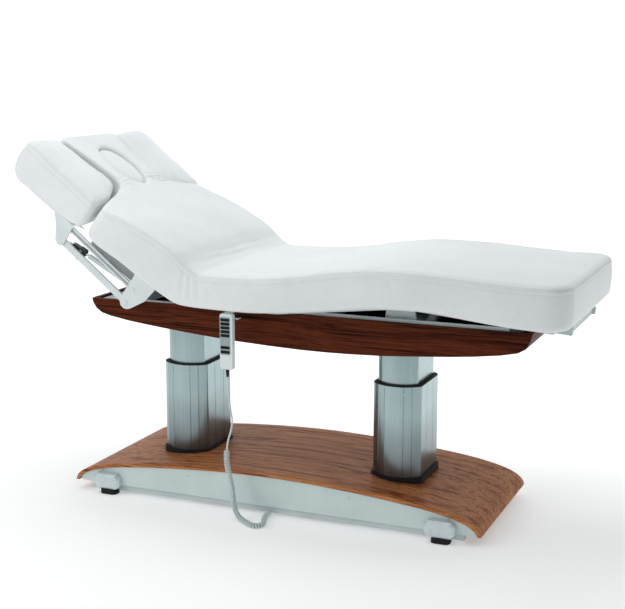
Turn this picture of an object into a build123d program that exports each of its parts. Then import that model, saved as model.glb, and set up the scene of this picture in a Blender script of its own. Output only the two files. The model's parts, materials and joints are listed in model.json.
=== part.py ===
from build123d import *
import os
from math import sin, cos, tan, asin, radians, degrees, hypot

os.makedirs("parts", exist_ok=True)

# Treatment bed with two lifting columns. Millimetres, +Z up, +X towards the foot end.
# Origin on the floor under the middle of the whole bed.

# ---------------------------------------------------------------- driving sizes
base_x = -58.0            # middle of the base along X
base_half_length = 750.0
base_width = 569.0
cover_t = 12.0
column_dx = 399.0         # columns either side of the base middle
outer_w, outer_d, outer_bow = 170.0, 178.0, 41.0     # flat sides, front and back bowed outwards by outer_bow
telescope_gap = 15.0      # from the outer casing's face to the inner casing's face
wall = 4.0
outer_top = 456.0
inner_top = 629.0
inner_bottom = 150.0
tray_top = 697.0
tray_out = 237.0          # outer face of the tray sides, from the middle
side_t = 12.0
rail_out = tray_out - side_t
rail_w = 26.0
rail_low, rail_high = 650.0, 697.0
bed_half_width = 375.0
board_half_width = 316.0
board_t = 9.0
seat_z = 718.0            # underside of the seat cushion
hip = (-281.0, 688.0)     # hip hinge, from the base middle
back_angle = 31.5
knee = (475.0, 735.0)     # knee hinge
leg_angle = -5.1
pad_angle = 36.0          # slope of head cushion and arm pads
pin_r = 7.95
hole_r = 8.0
link_up_low = (-483.0, 748.0)     # arm linkage pivots, from the base middle
link_up_top = (-735.0, 950.0)
link_low_low = (-514.0, 701.0)
link_low_top = (-766.0, 903.0)
handset_x, handset_w, handset_t = -101.0, 47.0, 18.0
handset_low, handset_high = 520.0, 706.0
handset_front = 363.0
act_y = 128.0             # the two tilt actuators lie at this distance either side of the middle
cord_d = 6.0
coil_d = 20.0


# ---------------------------------------------------------------- helpers: points only
def P(x, z):
    """Point in the XZ plane, x counted from the base middle."""
    return (x + base_x, z)


def bk(s, t):
    """Point on the back section: s up its slope from the hip hinge, t square to it."""
    a = radians(back_angle)
    return P(hip[0] - s * cos(a) + t * sin(a), hip[1] + s * sin(a) + t * cos(a))


def lg(s, t):
    """Point on the leg section: s along it from the knee hinge, t square to it."""
    a = radians(leg_angle)
    return P(knee[0] + s * cos(a) - t * sin(a), knee[1] + s * sin(a) + t * cos(a))


def un(u, n):
    """Point on the head end: u up the slope, n square to it, both from the base middle."""
    a = radians(pad_angle)
    return P(-u * cos(a) + n * sin(a), u * sin(a) + n * cos(a))


def turned(p, c, deg):
    """p turned about c in the XZ plane, +X towards +Z positive."""
    a = radians(deg)
    x, z = p[0] - c[0], p[1] - c[1]
    return (c[0] + x * cos(a) - z * sin(a), c[1] + x * sin(a) + z * cos(a))


def XZ(y):
    """Plane of constant Y whose local x, y are world X, Z and whose normal is -Y."""
    return Plane(origin=(0, y, 0), x_dir=(1, 0, 0), z_dir=(0, -1, 0))


bow_r = ((outer_w / 2) ** 2 + outer_bow ** 2) / (2 * outer_bow)      # radius of the bowed faces
bow_y = outer_d / 2 + outer_bow - bow_r                              # their centres, from the middle


def casing(cx, grow):
    """Casing outline about cx: flat sides, bowed front and back, every face grow outside the outer casing."""
    w, r = outer_w / 2 + grow, bow_r + grow
    y = bow_y + (r * r - w * w) ** 0.5
    with BuildSketch() as outline:
        with BuildLine():
            Line((cx - w, -y), (cx - w, y))
            ThreePointArc((cx - w, y), (cx, bow_y + r), (cx + w, y))
            Line((cx + w, y), (cx + w, -y))
            ThreePointArc((cx + w, -y), (cx, -bow_y - r), (cx - w, -y))
        make_face()
        fillet(outline.vertices(), 10 + grow / 2)
    return outline.sketch


H = P(*hip)
K = P(*knee)
head_hinge = (1100.0, 385.0)
slot_u, slot_a, slot_b = 1233.0, 108.0, 75.0
HH = un(*head_hinge)

# ================================================================ base
arch = [(0, 152), (230, 145), (360, 136), (480, 125), (565, 115), (650, 99), (692, 87), (724, 72), (743, 55), (750, 36)]
under = [(0, 140), (230, 133), (360, 124), (480, 113), (564, 103), (646, 87.5), (685, 76.5), (714, 63), (731, 49), (738, 36)]
arch_pts = [P(-x, z) for x, z in reversed(arch)] + [P(x, z) for x, z in arch[1:]]
under_pts = [P(-x, z) for x, z in reversed(under)] + [P(x, z) for x, z in under[1:]]
panel_pts = [(x, z - 0.5) for x, z in under_pts[1:-1]]

with BuildPart() as base_cover:
    with BuildSketch(XZ(0)):
        with BuildLine():
            Spline(*arch_pts)
            Spline(*under_pts)
            Line(arch_pts[0], under_pts[0])
            Line(arch_pts[-1], under_pts[-1])
        make_face()
    extrude(amount=base_width / 2, both=True)
    for sx in (-1, 1):
        with BuildSketch(Plane.XY.offset(60)):
            add(casing(base_x + sx * column_dx, 7.5))
        extrude(amount=200, mode=Mode.SUBTRACT)
base_cover.part.label = "base_cover"
export_step(base_cover.part, "parts/base_cover.step")

with BuildPart() as base_sides:
    with BuildSketch(XZ(-270)):
        with BuildLine():
            Spline(*panel_pts)
            Polyline(panel_pts[0], P(-727, 35), P(727, 35), panel_pts[-1])
        make_face()
    extrude(amount=8)
    mirror(about=Plane.XZ)
base_sides.part.label = "base_sides"
export_step(base_sides.part, "parts/base_sides.step")

with BuildPart() as base_frame:
    with BuildSketch(Plane.XY.offset(12)):
        with Locations((base_x, -252), (base_x, 252)):
            Rectangle(1380, 30)
    extrude(amount=26)
    with BuildSketch(Plane.XY.offset(14)):
        with Locations((base_x - column_dx, 0), (base_x + column_dx, 0)):
            Rectangle(220, 474)
    extrude(amount=8)
    with BuildSketch(Plane.XY.offset(12)):
        with Locations((base_x - 660, 0), (base_x + 660, 0)):
            Rectangle(40, 474)
    extrude(amount=26)
base_frame.part.label = "base_frame"
export_step(base_frame.part, "parts/base_frame.step")

foot_x = 616.0
with BuildPart() as foot_blocks:
    for sx in (-1, 1):
        cx = foot_x * sx
        with BuildSketch(XZ(-278)):
            with Locations(P(cx, 50)):
                Rectangle(104, 56)
            chamfer(vertices(), 15)
        extrude(amount=28)
        with BuildSketch(Plane.XY.offset(22)):
            with Locations((cx + base_x, -275)):
                Rectangle(72, 16)
        extrude(amount=12)
    near_edges = faces().filter_by(Plane.XZ).group_by(Axis.Y)[0].edges()
    chamfer(near_edges, 7)
    mirror(about=Plane.XZ)
foot_blocks.part.label = "foot_blocks"
export_step(foot_blocks.part, "parts/foot_blocks.step")

with BuildPart() as foot_pads:
    with BuildSketch(Plane.XY):
        with Locations(*[(base_x + sx * foot_x, sy * 274) for sx in (-1, 1) for sy in (-1, 1)]):
            RectangleRounded(64, 44, 16)
    extrude(amount=12)
    with BuildSketch(Plane.XY.offset(12)):
        with Locations(*[(base_x + sx * foot_x, sy * 286) for sx in (-1, 1) for sy in (-1, 1)]):
            RectangleRounded(52, 30, 10)
    extrude(amount=10)
foot_pads.part.label = "foot_pads"
export_step(foot_pads.part, "parts/foot_pads.step")

# ================================================================ lifting columns


with BuildPart() as column_outer:
    for sx in (-1, 1):
        cx = base_x + sx * column_dx
        with BuildSketch(Plane.XY.offset(22)):
            add(casing(cx, 0))
        extrude(amount=outer_top - 22)
        with BuildSketch(Plane.XY.offset(21)):
            add(casing(cx, -wall))
        extrude(amount=outer_top - 20, mode=Mode.SUBTRACT)
        # narrow channels drawn along the faces
        with BuildSketch(Plane.XY.offset(21)):
            with Locations(*[(cx + i * dx, j * (bow_y + (bow_r ** 2 - dx ** 2) ** 0.5)) for dx in (33, 59) for i in (-1, 1) for j in (-1, 1)]):
                Circle(1.5)
            with Locations(*[(cx + i * outer_w / 2, j * 34) for i in (-1, 1) for j in (-1, 1)]):
                Circle(1.5)
        extrude(amount=outer_top - 20, mode=Mode.SUBTRACT)
column_outer.part.label = "column_outer"
export_step(column_outer.part, "parts/column_outer.step")

with BuildPart() as column_gaskets:
    for sx in (-1, 1):
        with BuildSketch(Plane.XY.offset(104)):
            add(casing(base_x + sx * column_dx, 7))
        extrude(amount=40)
        with BuildSketch(Plane.XY.offset(103)):
            add(casing(base_x + sx * column_dx, 0.3))
        extrude(amount=42, mode=Mode.SUBTRACT)
column_gaskets.part.label = "column_gaskets"
export_step(column_gaskets.part, "parts/column_gaskets.step")

with BuildPart() as column_wipers:
    for sx in (-1, 1):
        with BuildSketch(Plane.XY.offset(outer_top)):
            add(casing(base_x + sx * column_dx, -0.4))
        extrude(amount=4)
        with BuildSketch(Plane.XY.offset(outer_top - 1)):
            add(casing(base_x + sx * column_dx, 0.5 - telescope_gap))
        extrude(amount=6, mode=Mode.SUBTRACT)
column_wipers.part.label = "column_wipers"
export_step(column_wipers.part, "parts/column_wipers.step")

with BuildPart() as lift_drives:
    for sx in (-1, 1):
        cx = base_x + sx * column_dx
        with BuildSketch(Plane.XY.offset(22)):
            with Locations((cx, 0)):
                RectangleRounded(96, 104, 12)
        extrude(amount=86)
        with BuildSketch(Plane.XY.offset(108)):
            with Locations((cx, 0)):
                Circle(11)
        extrude(amount=392)
lift_drives.part.label = "lift_drives"
export_step(lift_drives.part, "parts/lift_drives.step")

with BuildPart() as base_screws:
    for sx in (-1, 1):
        for y in (-1, 1):
            with BuildSketch(XZ(y * 278) if y < 0 else Plane(origin=(0, 278, 0), x_dir=(1, 0, 0), z_dir=(0, 1, 0))):
                with Locations(*[((x if y < 0 else x), z if y < 0 else -z) for x, z in (P(sx * 640, 82), P(sx * 300, 104))]):
                    Circle(3)
            extrude(amount=2.2)
        # two screws near the top of each bowed face, square to it
        for i in (-1, 1):
            for y in (-1, 1):
                a = asin(36 / bow_r)
                n = (i * sin(a), y * cos(a), 0)
                at = (base_x + sx * column_dx + n[0] * (bow_r + 0.06), y * bow_y + n[1] * (bow_r + 0.06), outer_top - 24)
                with BuildSketch(Plane(origin=at, x_dir=(0, 0, 1), z_dir=n)):
                    Circle(3.2)
                extrude(amount=1.6)
base_screws.part.label = "base_screws"
export_step(base_screws.part, "parts/base_screws.step")

with BuildPart() as column_inner:
    for sx in (-1, 1):
        cx = base_x + sx * column_dx
        with BuildSketch(Plane.XY.offset(inner_bottom)):
            add(casing(cx, -telescope_gap))
        extrude(amount=inner_top - inner_bottom)
        with BuildSketch(Plane.XY.offset(inner_bottom - 1)):
            add(casing(cx, -telescope_gap - wall))
        extrude(amount=inner_top - 7 - inner_bottom, mode=Mode.SUBTRACT)
column_inner.part.label = "column_inner"
export_step(column_inner.part, "parts/column_inner.step")

with BuildPart() as lift_push_tubes:
    with BuildSketch(Plane.XY.offset(215)):
        with Locations((base_x - column_dx, 0), (base_x + column_dx, 0)):
            Circle(20)
            Circle(14, mode=Mode.SUBTRACT)
    extrude(amount=inner_top - 8 - 215)
lift_push_tubes.part.label = "lift_push_tubes"
export_step(lift_push_tubes.part, "parts/lift_push_tubes.step")

# ================================================================ tray and main frame
hull = [(-690, tray_top), (-686, 682), (-673, 661), (-652, 647), (-619, 638), (-539, 625), (-459, 616), (-380, 608),
        (-264, 598), (-131, 588), (0, 582), (108, 578.5), (200, 578), (285, 579.5), (380, 583), (456, 588), (622, 601),
        (700, 609), (782, 620), (838, 632), (862, 646), (876, 670), (883, tray_top)]
hull_in = [(-676, tray_top), (-673, 687), (-662, 671), (-645, 659), (-616, 650), (-537, 637), (-458, 628), (-379, 620),
           (-263, 610), (-130, 600), (0, 594), (108, 590.5), (200, 590), (285, 591.5), (379, 595), (455, 600), (621, 613),
           (698, 621), (778, 632), (830, 643), (850, 655), (862, 674), (869, tray_top)]

with BuildPart() as tray_sides:
    with BuildSketch(XZ(-rail_out)):
        with BuildLine():
            Polyline(*[P(*p) for p in hull], close=True)
        make_face()
    extrude(amount=side_t)
    mirror(about=Plane.XZ)
tray_sides.part.label = "tray_sides"
export_step(tray_sides.part, "parts/tray_sides.step")

with BuildPart() as tray_wrap:
    # one bent panel: both ends and the bottom
    with BuildSketch(XZ(0)):
        with BuildLine():
            Polyline(*[P(*p) for p in hull], *[P(*p) for p in reversed(hull_in)], close=True)
        make_face()
    extrude(amount=rail_out, both=True)
    for sx in (-1, 1):
        with BuildSketch(Plane.XY.offset(500)):
            add(casing(base_x + sx * column_dx, 8 - telescope_gap))
        extrude(amount=180, mode=Mode.SUBTRACT)
    # relief in the bottom for the rod eye of the back drive, which is lowest with the back flat
    with BuildSketch(XZ(act_y)):
        with BuildLine():
            Polyline(P(-348, 611), P(-244, 602), P(-244, 630), P(-348, 640), close=True)
        make_face()
    extrude(amount=14, both=True, mode=Mode.SUBTRACT)
tray_wrap.part.label = "tray_wrap"
export_step(tray_wrap.part, "parts/tray_wrap.step")

rail_mid = rail_out - rail_w / 2
rail_in = rail_out - rail_w
back_pivot_foot = (110.0, 645.0)      # fixed ends of the two actuators
leg_pivot_foot = (40.0, 651.0)
with BuildPart() as main_frame:
    # side rails
    with BuildSketch(Plane.XY.offset(rail_low)):
        with Locations((base_x + 97, -rail_mid), (base_x + 97, rail_mid)):
            Rectangle(1418, rail_w)
    extrude(amount=rail_high - rail_low)
    with BuildSketch(Plane.XY.offset(rail_low + 3)):
        with Locations((base_x + 97, -rail_mid), (base_x + 97, rail_mid)):
            Rectangle(1430, rail_w - 6)
    extrude(amount=rail_high - rail_low - 6, mode=Mode.SUBTRACT)
    # flanges that stand above the tray's edge along the foot half
    with BuildSketch(Plane.XY.offset(rail_high)):
        with Locations((base_x + 433, -rail_out + 4), (base_x + 433, rail_out - 4)):
            Rectangle(746, 8)
    extrude(amount=10)
    # plate that closes the tray at the head end
    with BuildSketch(Plane.XY.offset(689)):
        with Locations((base_x - 622, 0)):
            Rectangle(84, 2 * rail_out - 2)
    extrude(amount=3)
    # saddles over the columns
    with BuildSketch(Plane.XY.offset(inner_top)):
        with Locations((base_x - column_dx, 0), (base_x + column_dx, 0)):
            Rectangle(108, 2 * rail_in + 8)
    extrude(amount=12)
    with BuildSketch(Plane.XY.offset(inner_top)):
        with Locations(*[(base_x + i * column_dx, j * (rail_in - 4)) for i in (-1, 1) for j in (-1, 1)]):
            Rectangle(108, 16)
    extrude(amount=rail_low + 20 - inner_top)
    # cross tubes: two ends, and one that carries the fixed ends of both actuators
    with BuildSketch(Plane.XY.offset(655)):
        with Locations((base_x - 592, 0), (base_x + 786, 0)):
            Rectangle(30, 2 * rail_in + 2)
    extrude(amount=30)
    with BuildSketch(Plane.XY.offset(669)):
        with Locations((base_x + 75, 0)):
            Rectangle(34, 2 * rail_in + 2)
    extrude(amount=22)
    # clevis cheeks for the actuators
    for (px, pz), y in ((back_pivot_foot, act_y), (leg_pivot_foot, -act_y)):
        for off in (-19, 19):
            with BuildSketch(XZ(y + off)):
                with Locations(P(px, pz)):
                    Circle(13)
                with BuildLine():
                    Polyline(P(px - 13, pz), P(px + 13, pz), P(92, 686), P(58, 686), close=True)
                make_face()
            extrude(amount=3, both=True)
            with BuildSketch(XZ(y + off)):
                with Locations(P(px, pz)):
                    Circle(6)
            extrude(amount=4, both=True, mode=Mode.SUBTRACT)
    # hip hinge ears
    for y in (-194, 194):
        with BuildSketch(XZ(y)):
            with Locations(H):
                Circle(20)
            with Locations(P(hip[0], 672)):
                Rectangle(40, 32)
        extrude(amount=5, both=True)
        with BuildSketch(XZ(y)):
            with Locations(H):
                Circle(hole_r)
        extrude(amount=6, both=True, mode=Mode.SUBTRACT)
main_frame.part.label = "main_frame"
export_step(main_frame.part, "parts/main_frame.step")

seat_line = [(-252, seat_z), (60, seat_z), (452, 763)]
with BuildPart() as seat_frame:
    # two bent bars under the seat board, each with a knee bracket standing on the rail
    with BuildSketch(XZ(-182)):
        with BuildLine():
            low = [(x, z - board_t) for x, z in seat_line]
            Polyline(*[P(*p) for p in low], *[P(x, z - 12) for x, z in reversed(low)], close=True)
        make_face()
    extrude(amount=10, both=True)
    with BuildSketch(XZ(-202)):
        with BuildLine():
            Polyline(P(392, rail_high), P(500, rail_high), P(493, 735), P(470, 752), P(440, 750), P(400, 742), close=True)
        make_face()
        with Locations(K):
            Circle(18)
    extrude(amount=4, both=True)
    with BuildSketch(XZ(-198)):
        with Locations(P(415, 739)):
            Rectangle(46, 8)
    extrude(amount=7, both=True)
    with BuildSketch(XZ(-202)):
        with Locations(K):
            Circle(hole_r)
    extrude(amount=8, both=True, mode=Mode.SUBTRACT)
    mirror(about=Plane.XZ)
seat_frame.part.label = "seat_frame"
export_step(seat_frame.part, "parts/seat_frame.step")

with BuildPart() as hinge_pins:
    for c, y0, y1 in ((H, 175, 199), (K, 168, 209)):
        with BuildSketch(XZ(-y0)):
            with Locations(c):
                Circle(pin_r)
        extrude(amount=y1 - y0)
        with BuildSketch(XZ(-y0 + 4)):
            with Locations(c):
                Circle(pin_r + 4)
        extrude(amount=4)
    mirror(about=Plane.XZ)
hinge_pins.part.label = "hinge_pins"
export_step(hinge_pins.part, "parts/hinge_pins.step")

with BuildPart() as seat_board:
    with BuildSketch(XZ(0)):
        with BuildLine():
            Polyline(*[P(*p) for p in seat_line], *[P(x, z - board_t) for x, z in reversed(seat_line)], close=True)
        make_face()
    extrude(amount=board_half_width, both=True)
seat_board.part.label = "seat_board"
export_step(seat_board.part, "parts/seat_board.step")

with BuildPart() as control_box:
    with BuildSketch(Plane.XY.offset(602)):
        with Locations((base_x + 205, 0)):
            RectangleRounded(150, 96, 6)
    extrude(amount=44)
    with BuildSketch(Plane.XY.offset(646)):
        with Locations((base_x + 140, 0)):
            Rectangle(24, 60)
    extrude(amount=4)
control_box.part.label = "control_box"
export_step(control_box.part, "parts/control_box.step")

# ================================================================ cushions of seat, back and legs
seat_a = radians(56.25)
seat_top = [(hip[0] + 4 + (838 - hip[1]) / tan(seat_a), 838), (0, 840), (99, 845), (168, 858), (236, 870), (336, 884), (402, 890), (438, 891)]
with BuildPart() as seat_cushion:
    with BuildSketch(XZ(0)):
        with BuildLine():
            Polyline(P(hip[0] + 4 + (seat_z - hip[1]) / tan(seat_a), seat_z), P(60, seat_z), P(452, 763), P(466, 768),
                     *[P(*p) for p in reversed(seat_top)], close=True)
        make_face()
    extrude(amount=bed_half_width, both=True)
seat_cushion.part.label = "seat_cushion"
export_step(seat_cushion.part, "parts/seat_cushion.step")

with BuildPart() as back_cushion:
    with BuildSketch(XZ(0)):
        with BuildLine():
            Polyline(bk(26, 30), bk(424, 30), un(1070, 402), un(1076, 425), un(1076, 500), un(1066, 518), bk(369, 173), bk(292, 178), bk(209, 184), bk(124, 178), close=True)
        make_face()
    extrude(amount=bed_half_width, both=True)
back_cushion.part.label = "back_cushion"
export_step(back_cushion.part, "parts/back_cushion.step")

leg_len = 549.0
leg_b = 34.0
with BuildPart() as leg_cushion:
    with BuildSketch(XZ(0)):
        with BuildLine():
            Polyline(lg(12, leg_b), lg(503, leg_b), lg(539, leg_b + 8), lg(leg_len, leg_b + 30), lg(leg_len, 140), lg(527, 165), lg(487, 169),
                     lg(420, 166), lg(330, 165), lg(240, 163), lg(150, 161), lg(90, 159), lg(30 + 16, 157), close=True)
        make_face()
    extrude(amount=bed_half_width, both=True)
    fillet(edges().filter_by(lambda e: abs(e.center().X - lg(leg_len, 100)[0]) < 8 and abs(abs(e.center().Y) - bed_half_width) < 0.1 and e.length > 60), 40)
leg_cushion.part.label = "leg_cushion"
export_step(leg_cushion.part, "parts/leg_cushion.step")

# ================================================================ back section frame
back_lug = (10.0, -54.0)
with BuildPart() as back_frame:
    for y in (-273, 273):
        with BuildSketch(XZ(y)):
            with BuildLine():
                Polyline(bk(40, 21), bk(404, 21), bk(404, -6), bk(52, -6), close=True)
            make_face()
        extrude(amount=11, both=True)
    for s in (40, 225, 366):
        with BuildSketch(XZ(0)):
            with BuildLine():
                Polyline(bk(s, 21), bk(s + 38, 21), bk(s + 38, 12), bk(s, 12), close=True)
            make_face()
        extrude(amount=262, both=True)
    # hip ears
    for y in (-182, 182):
        with BuildSketch(XZ(y)):
            with Locations(H):
                Circle(15)
            with BuildLine():
                Polyline(bk(-8, -15), bk(-8, 15), bk(40, 12), bk(76, 12), bk(76, 4), bk(30, -14), close=True)
            make_face()
        extrude(amount=5, both=True)
        with BuildSketch(XZ(y)):
            with Locations(H):
                Circle(hole_r)
        extrude(amount=6, both=True, mode=Mode.SUBTRACT)
    # fork for the back actuator
    for off in (-19, 19):
        with BuildSketch(XZ(act_y + off)):
            with Locations(bk(*back_lug)):
                Circle(14)
            with BuildLine():
                Polyline(bk(back_lug[0] - 14, back_lug[1]), bk(26, 2), bk(42, 12), bk(76, 12), bk(back_lug[0] + 14, back_lug[1]), close=True)
            make_face()
        extrude(amount=3, both=True)
    with BuildSketch(XZ(act_y)):
        with Locations(bk(*back_lug)):
            Circle(5)
    extrude(amount=19, both=True)
    # rod of the head hinge on two brackets at the head end
    with BuildSketch(XZ(0)):
        with Locations(HH):
            Circle(4.95)
    extrude(amount=150, both=True)
    for y in (-140, 140):
        with BuildSketch(XZ(y)):
            with Locations(HH):
                Circle(10)
            with BuildLine():
                Polyline(bk(370, 12), bk(450, 12), (HH[0] + 1, HH[1] - 10), (HH[0] + 9, HH[1] + 5), bk(440, 21), bk(370, 21), close=True)
            make_face()
        extrude(amount=4, both=True)
back_frame.part.label = "back_frame"
export_step(back_frame.part, "parts/back_frame.step")

with BuildPart() as back_board:
    with BuildSketch(XZ(0)):
        with BuildLine():
            Polyline(bk(24, 30), bk(404, 30), bk(404, 21), bk(24, 21), close=True)
        make_face()
    extrude(amount=board_half_width, both=True)
back_board.part.label = "back_board"
export_step(back_board.part, "parts/back_board.step")

# ================================================================ leg section frame
leg_lug = (42.0, -72.0)
with BuildPart() as leg_frame:
    for y in (-183, 183):
        with BuildSketch(XZ(y)):
            with BuildLine():
                Polyline(lg(-6, 25), lg(520, 25), lg(520, 3), lg(16, 3), lg(0, -14), lg(-14, 0), close=True)
            make_face()
            with Locations(K):
                Circle(15)
        extrude(amount=11, both=True)
        with BuildSketch(XZ(y)):
            with Locations(K):
                Circle(hole_r)
        extrude(amount=12, both=True, mode=Mode.SUBTRACT)
    for s in (60, 270, 490):
        with BuildSketch(XZ(0)):
            with BuildLine():
                Polyline(lg(s, 25), lg(s + 22, 25), lg(s + 22, 3), lg(s, 3), close=True)
            make_face()
        extrude(amount=172, both=True)
    for off in (-19, 19):
        with BuildSketch(XZ(-act_y + off)):
            with Locations(lg(*leg_lug)):
                Circle(14)
            with BuildLine():
                Polyline(lg(leg_lug[0] - 14, leg_lug[1]), lg(60, 4), lg(82, 4), lg(leg_lug[0] + 14, leg_lug[1]), close=True)
            make_face()
        extrude(amount=3, both=True)
    with BuildSketch(XZ(-act_y)):
        with Locations(lg(*leg_lug)):
            Circle(5)
    extrude(amount=19, both=True)
leg_frame.part.label = "leg_frame"
export_step(leg_frame.part, "parts/leg_frame.step")

with BuildPart() as leg_board:
    with BuildSketch(XZ(0)):
        with BuildLine():
            Polyline(lg(8, 34), lg(488, 34), lg(488, 25), lg(8, 25), close=True)
        make_face()
    extrude(amount=board_half_width, both=True)
leg_board.part.label = "leg_board"
export_step(leg_board.part, "parts/leg_board.step")

# ================================================================ actuators
actuators = {}
for name, foot, lug, y in (("back", back_pivot_foot, bk(*back_lug), act_y), ("leg", leg_pivot_foot, lg(*leg_lug), -act_y)):
    fx, fz = P(*foot)
    L = hypot(lug[0] - fx, lug[1] - fz)
    d = ((lug[0] - fx) / L, 0, (lug[1] - fz) / L)
    actuators[name] = (L, d)
    axis = Plane(origin=(fx, y, fz), x_dir=(0, 1, 0), z_dir=d)
    with BuildPart() as tube:
        with BuildSketch(XZ(y)):
            with Locations((fx, fz)):
                Circle(12)
        extrude(amount=15, both=True)
        with BuildSketch(axis.offset(8)):
            RectangleRounded(30, 26, 6)
        extrude(amount=70)
        with BuildSketch(axis.offset(78)):
            Circle(15)
        extrude(amount=L - 78 - 118)
        with BuildSketch(axis.offset(96)):
            Circle(10.5)
        extrude(amount=L, mode=Mode.SUBTRACT)
        with BuildSketch(XZ(y)):
            with Locations((fx, fz)):
                Circle(5.2)
        extrude(amount=16, both=True, mode=Mode.SUBTRACT)
    tube.part.label = name + "_actuator_tube"
    export_step(tube.part, "parts/" + name + "_actuator_tube.step")
    with BuildPart() as rod:
        with BuildSketch(axis.offset(150)):
            Circle(10)
        extrude(amount=L - 150 - 15)
        with BuildSketch(XZ(y)):
            with Locations(lug):
                Circle(17.5)
                Circle(13.5, mode=Mode.SUBTRACT)
        extrude(amount=8, both=True)
    rod.part.label = name + "_actuator_rod"
    export_step(rod.part, "parts/" + name + "_actuator_rod.step")

# ================================================================ head section
nx, nz = sin(radians(pad_angle)), cos(radians(pad_angle))


def head_plane(n):
    """Plane square to the head normal; its local x runs up the slope, y is +Y mirrored to keep it right-handed."""
    x, z = un(slot_u, n)
    return Plane(origin=(x, 0, z), x_dir=(-cos(radians(pad_angle)), 0, sin(radians(pad_angle))), z_dir=(nx, 0, nz))


head_plan = [(1110, 150), (1136, 142), (1160, 131), (1190, 128), (1240, 135), (1280, 144), (1315, 152), (1372, 168), (1414, 173)]
pad_plan = [(1085, 376), (1419, 376), (1419, 190), (1404, 187), (1372, 185), (1315, 171), (1280, 162), (1240, 152), (1200, 143), (1176, 143), (1156, 155),
            (1138, 179), (1122, 210), (1104, 252), (1092, 300), (1085, 345)]

with BuildPart() as head_bracket:
    with BuildSketch(XZ(0)):
        with BuildLine():
            Polyline(un(1112, 405), un(1396, 405), un(1396, 395), un(1112, 395), close=True)
        make_face()
    extrude(amount=126, both=True)
    with BuildSketch(head_plane(390)):
        Ellipse(slot_a - 12, slot_b - 12)
    extrude(amount=20, mode=Mode.SUBTRACT)
    for y in (-120, 120):
        with BuildSketch(XZ(y)):
            with BuildLine():
                Polyline(un(1112, 396), un(1200, 396), un(1190, 380), un(1100, 372), un(1090, 380), un(1092, 394), close=True)
            make_face()
        extrude(amount=5, both=True)
        with BuildSketch(XZ(y)):
            with Locations(HH):
                Circle(5.0)
        extrude(amount=6, both=True, mode=Mode.SUBTRACT)
head_bracket.part.label = "head_bracket"
export_step(head_bracket.part, "parts/head_bracket.step")

with BuildPart() as head_cushion:
    with BuildSketch(XZ(0)):
        with BuildLine():
            Polyline(un(1116, 405), un(1400, 405), un(1412, 420), un(1413, 500), un(1400, 522), un(1375, 526), un(1170, 524), un(1156, 516), close=True)
        make_face()
    extrude(amount=190, both=True)
    # in plan it is narrow at the neck and widens towards the crown of the head
    with BuildSketch(head_plane(380)):
        with BuildLine():
            Polyline(*[(u - slot_u, w) for u, w in head_plan], *[(u - slot_u, -w) for u, w in reversed(head_plan)], close=True)
        make_face()
    extrude(amount=170, mode=Mode.INTERSECT)
    with BuildSketch(head_plane(400)):
        Ellipse(slot_a, slot_b)
    extrude(amount=160, mode=Mode.SUBTRACT)
head_cushion.part.label = "head_cushion"
export_step(head_cushion.part, "parts/head_cushion.step")

with BuildPart() as face_plug:
    with BuildSketch(head_plane(452)):
        Ellipse(slot_a - 1.2, slot_b - 1.2)
    extrude(amount=76)
face_plug.part.label = "face_plug"
export_step(face_plug.part, "parts/face_plug.step")

# ================================================================ arm supports (near side, mirrored to the far side)
B1, T1, B2, T2 = P(*link_up_low), P(*link_up_top), P(*link_low_low), P(*link_low_top)
link_in, link_t = 289.0, 9.0
plate_in, plate_t = 299.0, 6.0


def bar_outline(a, b, w):
    """Corners of a straight bar of width w between two pivots."""
    L = hypot(b[0] - a[0], b[1] - a[1])
    n = (-(b[1] - a[1]) / L * w / 2, (b[0] - a[0]) / L * w / 2)
    return [(a[0] + n[0], a[1] + n[1]), (b[0] + n[0], b[1] + n[1]), (b[0] - n[0], b[1] - n[1]), (a[0] - n[0], a[1] - n[1])]


with BuildPart() as arm_gussets:
    with BuildSketch(XZ(-plate_in)):
        with BuildLine():
            Polyline(P(-536, 709), P(-533, 694), P(-523, 684), P(-509, 681), P(-496, 684), P(-439, 712), P(-400, 752), P(-392, 768), bk(150, 21),
                     bk(232, 21), P(-478, 796), P(-493, 776), P(-532, 722), close=True)
        make_face()
    extrude(amount=plate_t)
    with BuildSketch(XZ(-284)):
        with BuildLine():
            Polyline(bk(128, 16), bk(185, 16), bk(185, -4), bk(135, -4), close=True)
        make_face()
    extrude(amount=plate_in - 284)
    with BuildSketch(XZ(-268)):
        with Locations(B1):
            Circle(5.95)
    extrude(amount=plate_in - 268)
    with BuildSketch(XZ(-287)):
        with Locations(B2):
            Circle(5.95)
    extrude(amount=plate_in - 287)
    with BuildSketch(XZ(-plate_in - plate_t)):
        with Locations(B1, B2):
            Circle(8)
    extrude(amount=2.5)
    mirror(about=Plane.XZ)
arm_gussets.part.label = "arm_gussets"
export_step(arm_gussets.part, "parts/arm_gussets.step")

gas_y = 276.0
gas_L = hypot(T2[0] - B1[0], T2[1] - B1[1])
gas_d = ((T2[0] - B1[0]) / gas_L, 0, (T2[1] - B1[1]) / gas_L)

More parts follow.
